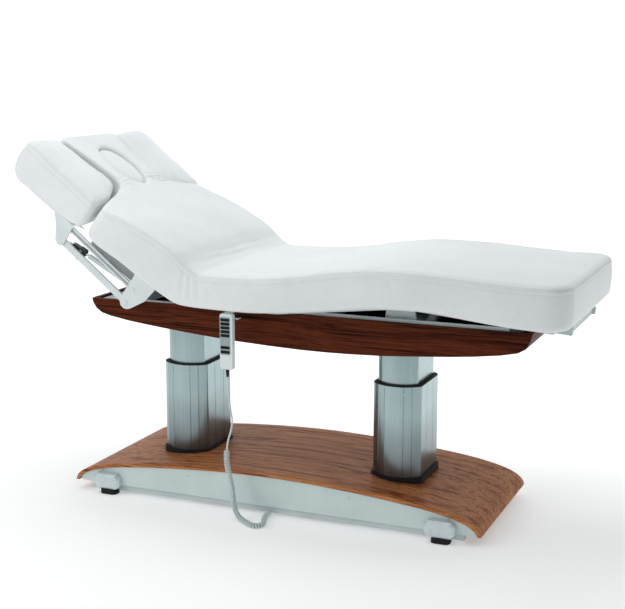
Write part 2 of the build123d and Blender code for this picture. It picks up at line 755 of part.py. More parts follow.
for side, sg in (("near", 1), ("far", -1)):
    with BuildPart() as link_low:
        with BuildSketch(XZ(-link_in)):
            with BuildLine():
                Polyline(*bar_outline(B2, T2, 24), close=True)
            make_face()
            with Locations(B2, T2):
                Circle(12)
                Circle(6, mode=Mode.SUBTRACT)
        extrude(amount=link_t)
        if sg < 0:
            mirror(about=Plane.XZ, mode=Mode.REPLACE)
    link_low.part.label = "arm_link_lower_" + side
    export_step(link_low.part, "parts/arm_link_lower_" + side + ".step")

    with BuildPart() as link_up:
        with BuildSketch(XZ(-link_in)):
            with BuildLine():
                Polyline(*bar_outline(B1, T1, 21), close=True)
            make_face()
            with Locations(B1, T1):
                Circle(10.5)
                Circle(6, mode=Mode.SUBTRACT)
        extrude(amount=link_t)
        if sg < 0:
            mirror(about=Plane.XZ, mode=Mode.REPLACE)
    link_up.part.label = "arm_link_upper_" + side
    export_step(link_up.part, "parts/arm_link_upper_" + side + ".step")

    with BuildPart() as carrier:
        # side plate with both pivots, and the seat plate under the pad
        with BuildSketch(XZ(-plate_in)):
            with BuildLine():
                Polyline(un(1098, 374), un(1250, 374), P(-783, 960), P(-788, 905), P(-782, 892), P(-770, 886), P(-757, 890), P(-718, 950), P(-700, 958), close=True)
            make_face()
        extrude(amount=plate_t)
        with BuildSketch(XZ(-184)):
            with BuildLine():
                Polyline(un(1126, 381), un(1388, 381), un(1388, 374), un(1126, 374), close=True)
            make_face()
        extrude(amount=352 - 184)
        with BuildSketch(XZ(-287)):
            with Locations(T1):
                Circle(5.95)
        extrude(amount=plate_in - 287)
        with BuildSketch(XZ(-282)):
            with Locations(T2):
                Circle(5.95)
        extrude(amount=plate_in - 282)
        if sg < 0:
            mirror(about=Plane.XZ, mode=Mode.REPLACE)
    carrier.part.label = "arm_carrier_" + side
    export_step(carrier.part, "parts/arm_carrier_" + side + ".step")

    with BuildPart() as arm_pad:
        with BuildSketch(XZ(-140)):
            with BuildLine():
                Polyline(un(1085, 394), un(1098, 382), un(1362, 382), un(1402, 400), un(1418, 440), un(1416, 480), un(1402, 508), un(1376, 521),
                         un(1120, 514), un(1096, 506), un(1085, 488), close=True)
            make_face()
        extrude(amount=375 - 140)
        with BuildSketch(head_plane(370)):
            with BuildLine():
                Polyline(*[(u - slot_u, w) for u, w in pad_plan], close=True)
            make_face()
        extrude(amount=170, mode=Mode.INTERSECT)
        if sg < 0:
            mirror(about=Plane.XZ, mode=Mode.REPLACE)
    arm_pad.part.label = "arm_pad_" + side
    export_step(arm_pad.part, "parts/arm_pad_" + side + ".step")

    along = Plane(origin=(B1[0], -gas_y, B1[1]), x_dir=(0, 1, 0), z_dir=gas_d)
    with BuildPart() as cyl:
        with BuildSketch(XZ(-gas_y)):
            with Locations(B1):
                Circle(10)
        extrude(amount=6, both=True)
        with BuildSketch(along.offset(7)):
            Circle(9)
        extrude(amount=205)
        with BuildSketch(along.offset(20)):
            Circle(4.6)
        extrude(amount=300, mode=Mode.SUBTRACT)
        with BuildSketch(XZ(-gas_y)):
            with Locations(B1):
                Circle(6)
        extrude(amount=7, both=True, mode=Mode.SUBTRACT)
        if sg < 0:
            mirror(about=Plane.XZ, mode=Mode.REPLACE)
    cyl.part.label = "gas_spring_cylinder_" + side
    export_step(cyl.part, "parts/gas_spring_cylinder_" + side + ".step")

    with BuildPart() as gas_rod:
        with BuildSketch(along.offset(60)):
            Circle(4.5)
        extrude(amount=175)
        with BuildSketch(along.offset(235)):
            RectangleRounded(16, 24, 4)
        extrude(amount=52)
        with BuildSketch(along.offset(287)):
            Circle(5)
        extrude(amount=14)
        if sg < 0:
            mirror(about=Plane.XZ, mode=Mode.REPLACE)
    gas_rod.part.label = "gas_spring_rod_" + side
    export_step(gas_rod.part, "parts/gas_spring_rod_" + side + ".step")

    with BuildPart() as lever:
        with BuildSketch(XZ(-285.5)):
            with Locations(T2):
                Circle(9)
            with BuildLine():
                Polyline((T2[0] - 4, T2[1] - 8), (T2[0] + 52, T2[1] - 66), (T2[0] + 66, T2[1] - 66), (T2[0] + 70, T2[1] - 50), (T2[0] + 6, T2[1] + 6), close=True)
            make_face()
            with Locations(T2):
                Circle(6, mode=Mode.SUBTRACT)
        extrude(amount=3)
        if sg < 0:
            mirror(about=Plane.XZ, mode=Mode.REPLACE)
    lever.part.label = "release_lever_" + side
    export_step(lever.part, "parts/release_lever_" + side + ".step")

# ================================================================ handset
hx = base_x + handset_x
with BuildPart() as handset_body:
    with BuildSketch(XZ(-(handset_front - handset_t))):
        with Locations((hx, (handset_low + handset_high) / 2)):
            RectangleRounded(handset_w, handset_high - handset_low, 7)
    extrude(amount=handset_t)
    front = faces().filter_by(Plane.XZ).sort_by(Axis.Y)[0]
    fillet(front.edges(), 3)
    # pockets for the keys
    key_z = [686, 673, 660, 647, 634, 594, 579]
    with BuildSketch(XZ(-(handset_front - 6))):
        with Locations(*[(hx - 3, z) for z in key_z]):
            Rectangle(33, 10.4)
    extrude(amount=10, mode=Mode.SUBTRACT)
handset_body.part.label = "handset_body"
export_step(handset_body.part, "parts/handset_body.step")

for i, z in enumerate(key_z):
    with BuildPart() as key:
        with BuildSketch(XZ(-(handset_front - 3.5))):
            with Locations((hx - 3, z)):
                RectangleRounded(32, 9.4, 2)
        extrude(amount=5.0)
    key.part.label = "key_" + str(i + 1)
    export_step(key.part, "parts/key_" + str(i + 1) + ".step")

with BuildPart() as handset_gland:
    with BuildSketch(Plane.XY.offset(handset_low)):
        with Locations((hx, -(handset_front - handset_t / 2))):
            Circle(6)
    with BuildSketch(Plane.XY.offset(handset_low - 26)):
        with Locations((hx, -(handset_front - handset_t / 2))):
            Circle(3.8)
    loft()
handset_gland.part.label = "handset_gland"
export_step(handset_gland.part, "parts/handset_gland.step")

with BuildPart() as handset_hook:
    # flat hanger screwed under the seat board, turned down behind the handset
    with BuildSketch(Plane.XY.offset(seat_z - board_t - 3)):
        with Locations((hx, -311)):
            Rectangle(26, 62)
    extrude(amount=3)
    with BuildSketch(Plane.XY.offset(650)):
        with Locations((hx, -343)):
            Rectangle(26, 3)
    extrude(amount=seat_z - board_t - 650)
    with BuildSketch(Plane.XY.offset(seat_z - board_t - 3)):
        with Locations((hx, -340)):
            Rectangle(26, 6)
    extrude(amount=3)
    # round loop beside it that the handset can also hang on
    with BuildSketch(Plane(origin=(hx + 13, -343, 690), x_dir=(0, 1, 0), z_dir=(1, 0, 0))):
        Circle(1.5)
    extrude(amount=24)
    with BuildSketch(Plane(origin=(hx + 36.9, -343, 690), x_dir=(1, 0, 0), z_dir=(0, -1, 0))):
        Circle(1.5)
    extrude(amount=14, both=True)
handset_hook.part.label = "handset_hook"
export_step(handset_hook.part, "parts/handset_hook.step")

# ================================================================ handset cord
cord_y = -(handset_front - handset_t / 2)


def C(x, y, z):
    """Point of the cord's route, x counted from the base middle, y from the cord's plane at the handset."""
    return (x + base_x, cord_y + y, z)


route_lead = [C(-101, 0, 494), C(-101, 0, 440), C(-93, 0, 390), C(-85, 0, 346), C(-92, 0, 306), C(-104, 0, 274), C(-107, 0, 248)]
route_coil = [C(-107, 0, 248), C(-111, 0, 213.33), C(-102, 1, 160), C(-90, 2, 108), C(-86, 0, 60), C(-68, -10, 22), C(-28, -30, 10.4), C(14, -54, 10.4),
              C(38, -30, 10.4), C(18, 20, 10.4), C(8, 55, 11.5), C(8, 87, 11.5)]


def corner_radii(pts):
    """0.45 of the shorter run over the tangent of half the turn, at each inner point."""
    out = []
    for a, b, c in zip(pts, pts[1:], pts[2:]):
        u = Vector(*b) - Vector(*a)
        w = Vector(*c) - Vector(*b)
        out.append(0.45 * min(u.length, w.length) / tan(radians(u.get_angle(w)) / 2))
    return out


for name, pts, dia in (("cord_lead", route_lead, cord_d), ("cord_coil", route_coil, coil_d)):
    radii = corner_radii(pts)
    with BuildPart() as cord:
        with BuildLine() as path:
            FilletPolyline(*pts, radius=radii)
        with BuildSketch(Plane(origin=pts[0], z_dir=Vector(*pts[1]) - Vector(*pts[0]))):
            Circle(dia / 2)
        sweep(path=path.wires()[0])
    length = path.wires()[0].length
    print(name, "length", round(length, 1), "radii", [round(r, 1) for r in radii],
          "volume/section*length", round(cord.part.volume / (3.14159265 * dia * dia / 4 * length), 4))
    cord.part.label = name
    export_step(cord.part, "parts/" + name + ".step")
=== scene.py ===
import bpy
import bmesh
import json
import random
import numpy as np
from math import sin, cos, tan, pi, radians, sqrt, hypot, atan2
from mathutils import Vector, Matrix, kdtree, noise


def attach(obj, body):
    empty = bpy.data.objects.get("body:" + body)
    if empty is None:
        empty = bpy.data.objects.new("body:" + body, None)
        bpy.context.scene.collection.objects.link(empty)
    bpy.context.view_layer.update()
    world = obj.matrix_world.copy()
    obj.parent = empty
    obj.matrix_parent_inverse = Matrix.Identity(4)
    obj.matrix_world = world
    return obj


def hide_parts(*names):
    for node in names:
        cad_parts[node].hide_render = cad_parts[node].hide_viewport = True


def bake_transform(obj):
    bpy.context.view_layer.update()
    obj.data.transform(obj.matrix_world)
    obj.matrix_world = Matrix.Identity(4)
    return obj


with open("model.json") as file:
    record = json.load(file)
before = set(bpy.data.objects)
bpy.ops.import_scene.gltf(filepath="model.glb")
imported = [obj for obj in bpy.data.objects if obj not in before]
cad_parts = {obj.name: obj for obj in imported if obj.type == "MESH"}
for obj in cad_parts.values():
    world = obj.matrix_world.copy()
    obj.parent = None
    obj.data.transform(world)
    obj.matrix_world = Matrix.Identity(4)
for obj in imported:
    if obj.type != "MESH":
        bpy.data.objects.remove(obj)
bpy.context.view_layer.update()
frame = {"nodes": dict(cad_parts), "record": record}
NODES = frame["nodes"]
scene = bpy.context.scene
BX = -0.058                      # middle of the base along X, in the row frame
A36 = radians(36.0)

# ---------------------------------------------------------------- camera
cam_data = bpy.data.cameras.new("camera")
cam_data.lens = 73.7
cam_data.sensor_width = 36.0
cam_data.clip_start = 0.05
cam_data.clip_end = 60.0
cam = bpy.data.objects.new("camera", cam_data)
cam.location = (1.692, -4.016, 1.521)
cam.rotation_euler = (radians(79.15), 0.0, radians(22.91))
scene.collection.objects.link(cam)
scene.camera = cam


# ---------------------------------------------------------------- small helpers
def un(u, n):
    """Head end: u up the slope, n square to it, metres."""
    return (-u * cos(A36) + n * sin(A36) + BX, u * sin(A36) + n * cos(A36))


def link(obj):
    scene.collection.objects.link(obj)
    return obj


def mesh_object(name, verts, faces, smooth=True, material=None):
    me = bpy.data.meshes.new(name)
    me.from_pydata([tuple(map(float, v)) for v in verts], [], faces)
    me.update()
    if smooth:
        me.polygons.foreach_set("use_smooth", [True] * len(me.polygons))
    obj = bpy.data.objects.new(name, me)
    if material is not None:
        me.materials.append(material)
    return link(obj)


def hermite(xs, ys):
    """Monotone cubic through the given values, for numpy arrays."""
    xs, ys = np.array(xs, float), np.array(ys, float)
    h = np.diff(xs)
    d = np.diff(ys) / h
    m = np.zeros_like(ys)
    m[0], m[-1] = d[0], d[-1]
    for i in range(1, len(ys) - 1):
        if d[i - 1] * d[i] > 0:
            w1, w2 = 2 * h[i] + h[i - 1], h[i] + 2 * h[i - 1]
            m[i] = (w1 + w2) / (w1 / d[i - 1] + w2 / d[i])

    def f(x):
        x = np.asarray(x, float)
        k = np.clip(np.searchsorted(xs, x) - 1, 0, len(xs) - 2)
        t = (x - xs[k]) / h[k]
        lo, hi = t < 0, t > 1
        tc = np.clip(t, 0, 1)
        t2, t3 = tc * tc, tc ** 3
        v = (2 * t3 - 3 * t2 + 1) * ys[k] + (t3 - 2 * t2 + tc) * h[k] * m[k] + (3 * t2 - 2 * t3) * ys[k + 1] + (t3 - t2) * h[k] * m[k + 1]
        v = np.where(lo, ys[0] + (x - xs[0]) * m[0], v)
        v = np.where(hi, ys[-1] + (x - xs[-1]) * m[-1], v)
        return v
    return f


def smoothstep(x, a, b):
    t = np.clip((np.asarray(x, float) - a) / (b - a), 0, 1)
    return t * t * (3 - 2 * t)


# ---------------------------------------------------------------- materials
class Mat:
    def __init__(self, name):
        self.m = bpy.data.materials.new(name)
        self.m.use_nodes = True
        self.t = self.m.node_tree
        self.t.nodes.clear()
        self.out = self.t.nodes.new("ShaderNodeOutputMaterial")
        self.b = self.t.nodes.new("ShaderNodeBsdfPrincipled")
        self.t.links.new(self.b.outputs[0], self.out.inputs[0])
        self.co = self.t.nodes.new("ShaderNodeTexCoord").outputs["Object"]

    def set(self, **k):
        for a, v in k.items():
            s = self.b.inputs[a.replace("_", " ")]
            s.default_value = v if not isinstance(v, tuple) or len(v) != 3 else (*v, 1.0)
        return self

    def link(self, a, b):
        self.t.links.new(a, b)

    def mapping(self, scale, rot=(0, 0, 0), src=None, loc=(0, 0, 0)):
        n = self.t.nodes.new("ShaderNodeMapping")
        n.inputs["Scale"].default_value = scale
        n.inputs["Rotation"].default_value = rot
        n.inputs["Location"].default_value = loc
        self.link(src or self.co, n.inputs["Vector"])
        return n.outputs[0]

    def noise(self, vec, scale=1.0, detail=2.0, rough=0.5, dist=0.0):
        n = self.t.nodes.new("ShaderNodeTexNoise")
        n.inputs["Scale"].default_value = scale
        n.inputs["Detail"].default_value = detail
        n.inputs["Roughness"].default_value = rough
        n.inputs["Distortion"].default_value = dist
        self.link(vec, n.inputs["Vector"])
        return n.outputs["Fac"] if "Fac" in n.outputs else n.outputs[0]

    def voronoi(self, vec, scale=1.0, feature="F1", rand=1.0):
        n = self.t.nodes.new("ShaderNodeTexVoronoi")
        n.feature = feature
        n.inputs["Scale"].default_value = scale
        n.inputs["Randomness"].default_value = rand
        self.link(vec, n.inputs["Vector"])
        return n.outputs["Distance"]

    def ramp(self, fac, stops, interp="LINEAR"):
        n = self.t.nodes.new("ShaderNodeValToRGB")
        n.color_ramp.interpolation = interp
        e = n.color_ramp.elements
        while len(e) > 1:
            e.remove(e[-1])
        e[0].position, e[0].color = stops[0][0], self.col(stops[0][1])
        for p, c in stops[1:]:
            k = e.new(p)
            k.color = self.col(c)
        self.link(fac, n.inputs[0])
        return n.outputs[0]

    @staticmethod
    def col(c):
        return (c, c, c, 1.0) if isinstance(c, (int, float)) else (*c, 1.0)

    def math(self, op, a, b=None, c=None, clamp=False):
        n = self.t.nodes.new("ShaderNodeMath")
        n.operation = op
        n.use_clamp = clamp
        for i, v in enumerate((a, b, c)):
            if v is None:
                continue
            if isinstance(v, (int, float)):
                n.inputs[i].default_value = v
            else:
                self.link(v, n.inputs[i])
        return n.outputs[0]

    def mix(self, fac, a, b, mode="MIX"):
        n = self.t.nodes.new("ShaderNodeMix")
        n.data_type = "RGBA"
        n.blend_type = mode
        n.clamp_factor = True
        for s, v in ((n.inputs[0], fac), (n.inputs[6], a), (n.inputs[7], b)):
            if isinstance(v, (int, float)):
                s.default_value = v if s.type == "VALUE" else self.col(v)
            elif isinstance(v, tuple):
                s.default_value = self.col(v)
            else:
                self.link(v, s)
        return n.outputs[2]

    def bump(self, height, strength=0.3, distance=0.001, normal=None):
        n = self.t.nodes.new("ShaderNodeBump")
        n.inputs["Strength"].default_value = strength
        n.inputs["Distance"].default_value = distance
        self.link(height, n.inputs["Height"])
        if normal is not None:
            self.link(normal, n.inputs["Normal"])
        return n.outputs[0]

    def base(self, c):
        self.link(c, self.b.inputs["Base Color"])
        return self

    def rough(self, r):
        self.link(r, self.b.inputs["Roughness"])
        return self

    def normal(self, n):
        self.link(n, self.b.inputs["Normal"])
        return self


def srgb(*c):
    return tuple((v / 255 / 12.92) if v / 255 <= 0.04045 else ((v / 255 + 0.055) / 1.055) ** 2.4 for v in c)


def upholstery(name, tint=(1, 1, 1), seed=0.0):
    m = Mat(name)
    v = m.mapping((1, 1, 1), loc=(seed, seed * 0.7, 0))
    broad = m.noise(v, 2.6, 3, 0.55)
    fine = m.noise(v, 38, 3, 0.6)
    c0, c1 = srgb(226, 230, 231), srgb(238, 241, 241)
    col = m.ramp(m.math("ADD", m.math("MULTIPLY", broad, 0.75), m.math("MULTIPLY", fine, 0.25)),
                 [(0.34, tuple(a * b for a, b in zip(c0, tint))), (0.64, tuple(a * b for a, b in zip(c1, tint)))])
    cells = m.voronoi(v, 620, "DISTANCE_TO_EDGE")
    pebble = m.ramp(cells, [(0.0, 0.0), (0.16, 1.0)])
    # the grain's valleys hold a little shade
    m.base(m.mix(m.math("MULTIPLY", m.math("SUBTRACT", 1.0, pebble), 0.12), col, tuple(a * 0.72 for a in c0)))
    m.rough(m.ramp(m.math("ADD", m.math("MULTIPLY", fine, 0.5), m.math("MULTIPLY", broad, 0.5)), [(0.3, 0.40), (0.7, 0.54)]))
    n1 = m.bump(pebble, 0.22, 0.00025)
    n2 = m.bump(m.noise(v, 150, 4, 0.6), 0.10, 0.0006, n1)
    n3 = m.bump(m.noise(m.mapping((1, 0.6, 1)), 9, 3, 0.5, 0.6), 0.12, 0.004, n2)
    m.normal(n3)
    m.set(Sheen_Weight=0.08, Sheen_Roughness=0.5, Specular_IOR_Level=0.42)
    return m.m


def wood(name, dark, mid, light, pore, coat=0.05, streak=1.0, seed=0.0, rough=(0.40, 0.56), spec=0.18):
    m = Mat(name)
    warp = m.noise(m.mapping((1.1, 2.6, 2.6), loc=(seed, 0, 0)), 1.0, 2, 0.5)
    # the grain runs along X and wanders slowly
    n = m.t.nodes.new("ShaderNodeVectorMath")
    n.operation = "ADD"
    cx = m.t.nodes.new("ShaderNodeCombineXYZ")
    amp = m.math("MULTIPLY", m.math("SUBTRACT", warp, 0.5), 0.05)
    m.link(amp, cx.inputs["Y"])
    m.link(amp, cx.inputs["Z"])
    m.link(m.co, n.inputs[0])
    m.link(cx.outputs[0], n.inputs[1])
    w = n.outputs[0]
    bands = m.noise(m.mapping((0.45, 34, 34), src=w, loc=(seed, seed, 0)), 1.0, 4, 0.62)
    fine = m.noise(m.mapping((3.0, 210, 210), src=w, loc=(0, seed, 0)), 1.0, 3, 0.55)
    hair = m.noise(m.mapping((14, 900, 900), src=w), 1.0, 2, 0.5)
    g = m.math("ADD", m.math("MULTIPLY", bands, 0.62), m.math("MULTIPLY", fine, 0.38))
    col = m.ramp(g, [(0.30, dark), (0.43, mid), (0.55, light), (0.66, mid), (0.78, dark)])
    streaks = m.ramp(fine, [(0.30, 1.0), (0.44, 0.0)])
    col = m.mix(m.math("MULTIPLY", streaks, 0.55 * streak), col, pore)
    ticks = m.ramp(hair, [(0.34, 1.0), (0.42, 0.0)])
    col = m.mix(m.math("MULTIPLY", ticks, 0.38 * streak), col, pore)
    m.base(col)
    m.rough(m.ramp(fine, [(0.3, rough[1]), (0.7, rough[0])]))
    h = m.math("ADD", m.math("MULTIPLY", streaks, -0.6), m.math("MULTIPLY", ticks, -0.4))
    m.normal(m.bump(h, 0.30, 0.0003))
    m.set(Coat_Weight=coat, Coat_Roughness=0.28, Specular_IOR_Level=spec)
    return m.m


def metal(name, lo, hi, rough, grain=(260, 260, 3), metallic=1.0, bump=0.05, foot=None):
    m = Mat(name)
    g = m.noise(m.mapping(grain), 1.0, 3, 0.6)
    spots = m.noise(m.mapping((1, 1, 1)), 5.0, 3, 0.5)
    col = m.ramp(m.math("ADD", m.math("MULTIPLY", g, 0.6), m.math("MULTIPLY", spots, 0.4)), [(0.35, lo), (0.65, hi)])
    if foot is not None:                           # painted reflection: the colour darkens towards the sheet's lower end, standing in for the dark base it reflects
        low, high, amount, painted_reflection_tone = foot
        sep = m.t.nodes.new("ShaderNodeSeparateXYZ")
        m.link(m.co, sep.inputs[0])
        h = m.math("DIVIDE", m.math("SUBTRACT", sep.outputs["Z"], low), high - low)
        h = m.ramp(m.math("ADD", h, m.math("MULTIPLY", m.math("SUBTRACT", spots, 0.5), 0.35)), [(0.0, 1.0), (1.0, 0.0)])
        col = m.mix(m.math("MULTIPLY", h, amount), col, painted_reflection_tone)
    m.base(col)
    m.rough(m.ramp(m.math("ADD", m.math("MULTIPLY", g, 0.5), m.math("MULTIPLY", spots, 0.5)), [(0.3, rough[0]), (0.7, rough[1])]))
    m.normal(m.bump(g, bump, 0.0002))
    m.set(Metallic=metallic)
    return m.m


def painted(name, lo, hi, rough, scale=520, bump=0.12, coat=0.0, spec=0.5):
    m = Mat(name)
    v = m.mapping((1, 1, 1))
    peel = m.noise(v, scale, 3, 0.55)
    spots = m.noise(v, 7, 3, 0.55)
    m.base(m.ramp(m.math("ADD", m.math("MULTIPLY", peel, 0.3), m.math("MULTIPLY", spots, 0.7)), [(0.35, lo), (0.65, hi)]))
    m.rough(m.ramp(spots, [(0.3, rough[0]), (0.7, rough[1])]))
    m.normal(m.bump(peel, bump, 0.00025))
    m.set(Coat_Weight=coat, Coat_Roughness=0.2, Specular_IOR_Level=spec)
    return m.m


M = {
    "upholstery": upholstery("upholstery"),
    "base_wood": wood("base_wood", srgb(72, 30, 12), srgb(150, 82, 42), srgb(196, 132, 84), srgb(30, 11, 4), coat=0.03, spec=0.08, streak=1.7),
    "tray_wood": wood("tray_wood", srgb(26, 8, 4), srgb(66, 25, 12), srgb(98, 45, 24), srgb(8, 2, 1), seed=3.1, streak=1.75, coat=0.02, spec=0.05),
    "wood_edge": wood("wood_edge", srgb(34, 13, 6), srgb(62, 29, 14), srgb(84, 44, 24), srgb(18, 7, 3), seed=5.2, spec=0.08),
    "silver_panel": painted("silver_panel", srgb(198, 214, 213), srgb(210, 224, 223), (0.32, 0.42), 700, 0.06, 0.10),
    "frame_steel": painted("frame_steel", srgb(188, 199, 200), srgb(204, 213, 214), (0.40, 0.52), 420, 0.25),
    "foot_grey": metal("foot_grey", srgb(196, 210, 211), srgb(214, 225, 226), (0.36, 0.44), (90, 90, 90), 0.35),
    "black_rubber": painted("black_rubber", srgb(16, 16, 17), srgb(28, 28, 30), (0.62, 0.8), 900, 0.3, spec=0.3),
    # the columns' darker lower part is a painted reflection of the dark wooden base
    "column_aluminium": metal("column_aluminium", srgb(152, 171, 173), srgb(172, 190, 191), (0.20, 0.28), (300, 300, 2.2), 0.9, foot=(0.11, 0.36, 0.85, srgb(74, 64, 72))),
    "zinc_steel": metal("zinc_steel", srgb(176, 180, 184), srgb(206, 208, 210), (0.22, 0.34), (200, 200, 200)),
    "black_plastic": painted("black_plastic", srgb(6, 6, 8), srgb(16, 16, 18), (0.45, 0.58), 1200, 0.2, spec=0.25),
    "drive_grey": painted("drive_grey", srgb(126, 130, 134), srgb(146, 150, 152), (0.4, 0.52), 300, 0.3),
    "white_plastic": painted("white_plastic", srgb(216, 226, 226), srgb(228, 235, 235), (0.30, 0.40), 900, 0.08, 0.1),
    "inset_grey": painted("inset_grey", srgb(148, 162, 165), srgb(164, 177, 179), (0.4, 0.5), 900, 0.1),
    "white_paint": painted("white_paint", srgb(214, 222, 224), srgb(230, 236, 237), (0.28, 0.40), 380, 0.14, 0.12),
    "gas_black": painted("gas_black", srgb(20, 20, 22), srgb(34, 34, 37), (0.28, 0.4), 700, 0.08, 0.2),
    "gas_silver": painted("gas_silver", srgb(198, 206, 208), srgb(216, 222, 223), (0.24, 0.34), 700, 0.06, 0.2),
    "gas_rod_steel": metal("gas_rod_steel", srgb(200, 204, 208), srgb(222, 224, 226), (0.12, 0.2), (60, 60, 60)),
    "lined_board": painted("lined_board", srgb(196, 205, 206), srgb(210, 217, 218), (0.42, 0.55), 260, 0.2),
    "cord_grey": painted("cord_grey", srgb(194, 207, 208), srgb(214, 223, 224), (0.42, 0.55), 1500, 0.15),
    "thread": painted("thread", srgb(214, 220, 221), srgb(232, 236, 237), (0.55, 0.7), 4000, 0.4),
}
slot_of = {p["node"]: p["material_slot"] for p in frame["record"]["subparts"]}
for name, obj in NODES.items():
    mat = M[slot_of[name]]
    if not obj.material_slots:
        obj.data.materials.append(mat)
    for s in obj.material_slots:
        s.material = mat


# ---------------------------------------------------------------- the handset's cord
CY = -0.354


def cpt(x, y, z):
    return (x + BX, CY + y, z)


route_lead = [cpt(-0.101, 0, 0.494), cpt(-0.101, 0, 0.440), cpt(-0.093, 0, 0.390), cpt(-0.085, 0, 0.346), cpt(-0.092, 0, 0.306),
              cpt(-0.104, 0, 0.274), cpt(-0.107, 0, 0.248)]
route_coil = [cpt(-0.107, 0, 0.248), cpt(-0.111, 0, 0.21333), cpt(-0.102, 0.001, 0.160), cpt(-0.090, 0.002, 0.108), cpt(-0.086, 0, 0.060),
              cpt(-0.068, -0.010, 0.022), cpt(-0.028, -0.030, 0.0104), cpt(0.014, -0.054, 0.0104), cpt(0.038, -0.030, 0.0104),
              cpt(0.018, 0.020, 0.0104), cpt(0.008, 0.055, 0.0115), cpt(0.008, 0.087, 0.0115)]


def nurbs_points(points, resolution=24):
    """Points read from a smooth open NURBS spline through the route."""
    cu = bpy.data.curves.new("route", "CURVE")
    cu.dimensions = "3D"
    cu.resolution_u = resolution
    sp = cu.splines.new("NURBS")
    sp.points.add(len(points) - 1)
    for p, q in zip(sp.points, points):
        p.co = (*q, 1.0)
    sp.order_u = 3
    sp.use_endpoint_u = True
    ob = link(bpy.data.objects.new("route", cu))
    bpy.context.view_layer.update()
    me = bpy.data.meshes.new_from_object(ob.evaluated_get(bpy.context.evaluated_depsgraph_get()))
    co = np.array([v.co for v in me.vertices], float)
    bpy.data.objects.remove(ob)
    bpy.data.curves.remove(cu)
    bpy.data.meshes.remove(me)
    return co


def resample(co, step):
    seg = np.linalg.norm(np.diff(co, axis=0), axis=1)
    keep = np.concatenate([[True], seg > 1e-9])
    co = co[keep]
    s = np.concatenate([[0], np.cumsum(np.linalg.norm(np.diff(co, axis=0), axis=1))])
    n = max(2, int(round(s[-1] / step)) + 1)
    q = np.linspace(0, s[-1], n)
    return np.stack([np.interp(q, s, co[:, k]) for k in range(3)], 1), q


def frames(co):
    """Twist-free frames along a polyline."""
    t = np.gradient(co, axis=0)
    t /= np.linalg.norm(t, axis=1)[:, None]
    u = np.zeros_like(co)
    a = np.cross(t[0], (0.3, 0.9, 0.1))
    u[0] = a / np.linalg.norm(a)
    for i in range(1, len(co)):
        v = u[i - 1] - t[i] * np.dot(u[i - 1], t[i])
        u[i] = v / np.linalg.norm(v)
    return t, u, np.cross(t, u)


def tube(name, co, radius, sides=10, material=None):
    """A closed round tube whose rings are centred on the given points."""
    t, u, w = frames(co)
    r = np.full(len(co), radius) if np.isscalar(radius) else np.asarray(radius)
    verts, faces = [], []
    for i, c in enumerate(co):
        for k in range(sides):
            a = 2 * pi * k / sides
            verts.append(c + r[i] * (cos(a) * u[i] + sin(a) * w[i]))
    for i in range(len(co) - 1):
        for k in range(sides):
            a, b = i * sides + k, i * sides + (k + 1) % sides
            faces.append((a, b, b + sides, a + sides))
    n = len(verts)
    verts += [co[0], co[-1]]
    for k in range(sides):
        faces.append((n, (k + 1) % sides, k))
        faces.append((n + 1, n - sides + k, n - sides + (k + 1) % sides))
    return mesh_object(name, verts, faces, True, material)


cord_d = 0.006
lead_line = nurbs_points(route_lead)
coil_line = nurbs_points(route_coil)
lead_co, _ = resample(lead_line, 0.006)
core, cs = resample(coil_line, 0.0004)
ct, cu_, cw = frames(core)
pitch, helix_r = 0.0076, 0.0070
ramp_len = 0.012
per_turn = 18
n_pts = int(cs[-1] / pitch * per_turn)
q = np.linspace(0, cs[-1], n_pts)
helix = []
for x in q:
    k = min(len(core) - 1, max(0, int(round(x / cs[-1] * (len(core) - 1)))))
    grow = float(smoothstep(x, 0, ramp_len)) * float(1 - smoothstep(x, cs[-1] - ramp_len, cs[-1]))
    a = 2 * pi * x / pitch
    helix.append(core[k] + helix_r * grow * (cos(a) * cu_[k] + sin(a) * cw[k]))
helix = np.array(helix)
cord_path = np.concatenate([lead_co[:-1], helix])
handset_cord = tube("handset_cord", cord_path, cord_d / 2, 10, M["cord_grey"])
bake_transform(handset_cord)
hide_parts("cord_lead", "cord_coil")

# ---------------------------------------------------------------- the mattress: one skin bent along the bed
# stations from the foot end to the head end: (underside point, seam point), base-centred metres
hd = lambda u, n: (-u * cos(A36) + n * sin(A36), u * sin(A36) + n * cos(A36))
stations = [((1.016, 0.732), (1.018, 0.858)), ((0.974, 0.731), (0.978, 0.857)), ((0.876, 0.734), (0.885, 0.857)), ((0.723, 0.748), (0.730, 0.865)),
            ((0.566, 0.764), (0.570, 0.874)), ((0.436, 0.762), (0.432, 0.876)), ((0.270, 0.744), (0.262, 0.859)), ((0.133, 0.727), (0.130, 0.836)),
            ((-0.043, 0.716), (-0.045, 0.822)), ((-0.189, 0.718), (-0.180, 0.821)), ((-0.263, 0.723), (-0.232, 0.844)),
            ((-0.356, 0.765), (-0.2835, 0.8906)), ((-0.488, 0.851), (-0.419, 0.967)), (hd(1.029, 0.391), hd(1.029, 0.512)),
            (hd(1.100, 0.402), hd(1.100, 0.503)), (hd(1.200, 0.405), hd(1.200, 0.500)), (hd(1.420, 0.405), hd(1.420, 0.499))]
mid = np.array([((b[0] + t[0]) / 2, (b[1] + t[1]) / 2) for b, t in stations])
S_AT = np.concatenate([[0], np.cumsum(np.linalg.norm(np.diff(mid, axis=0), axis=1))])


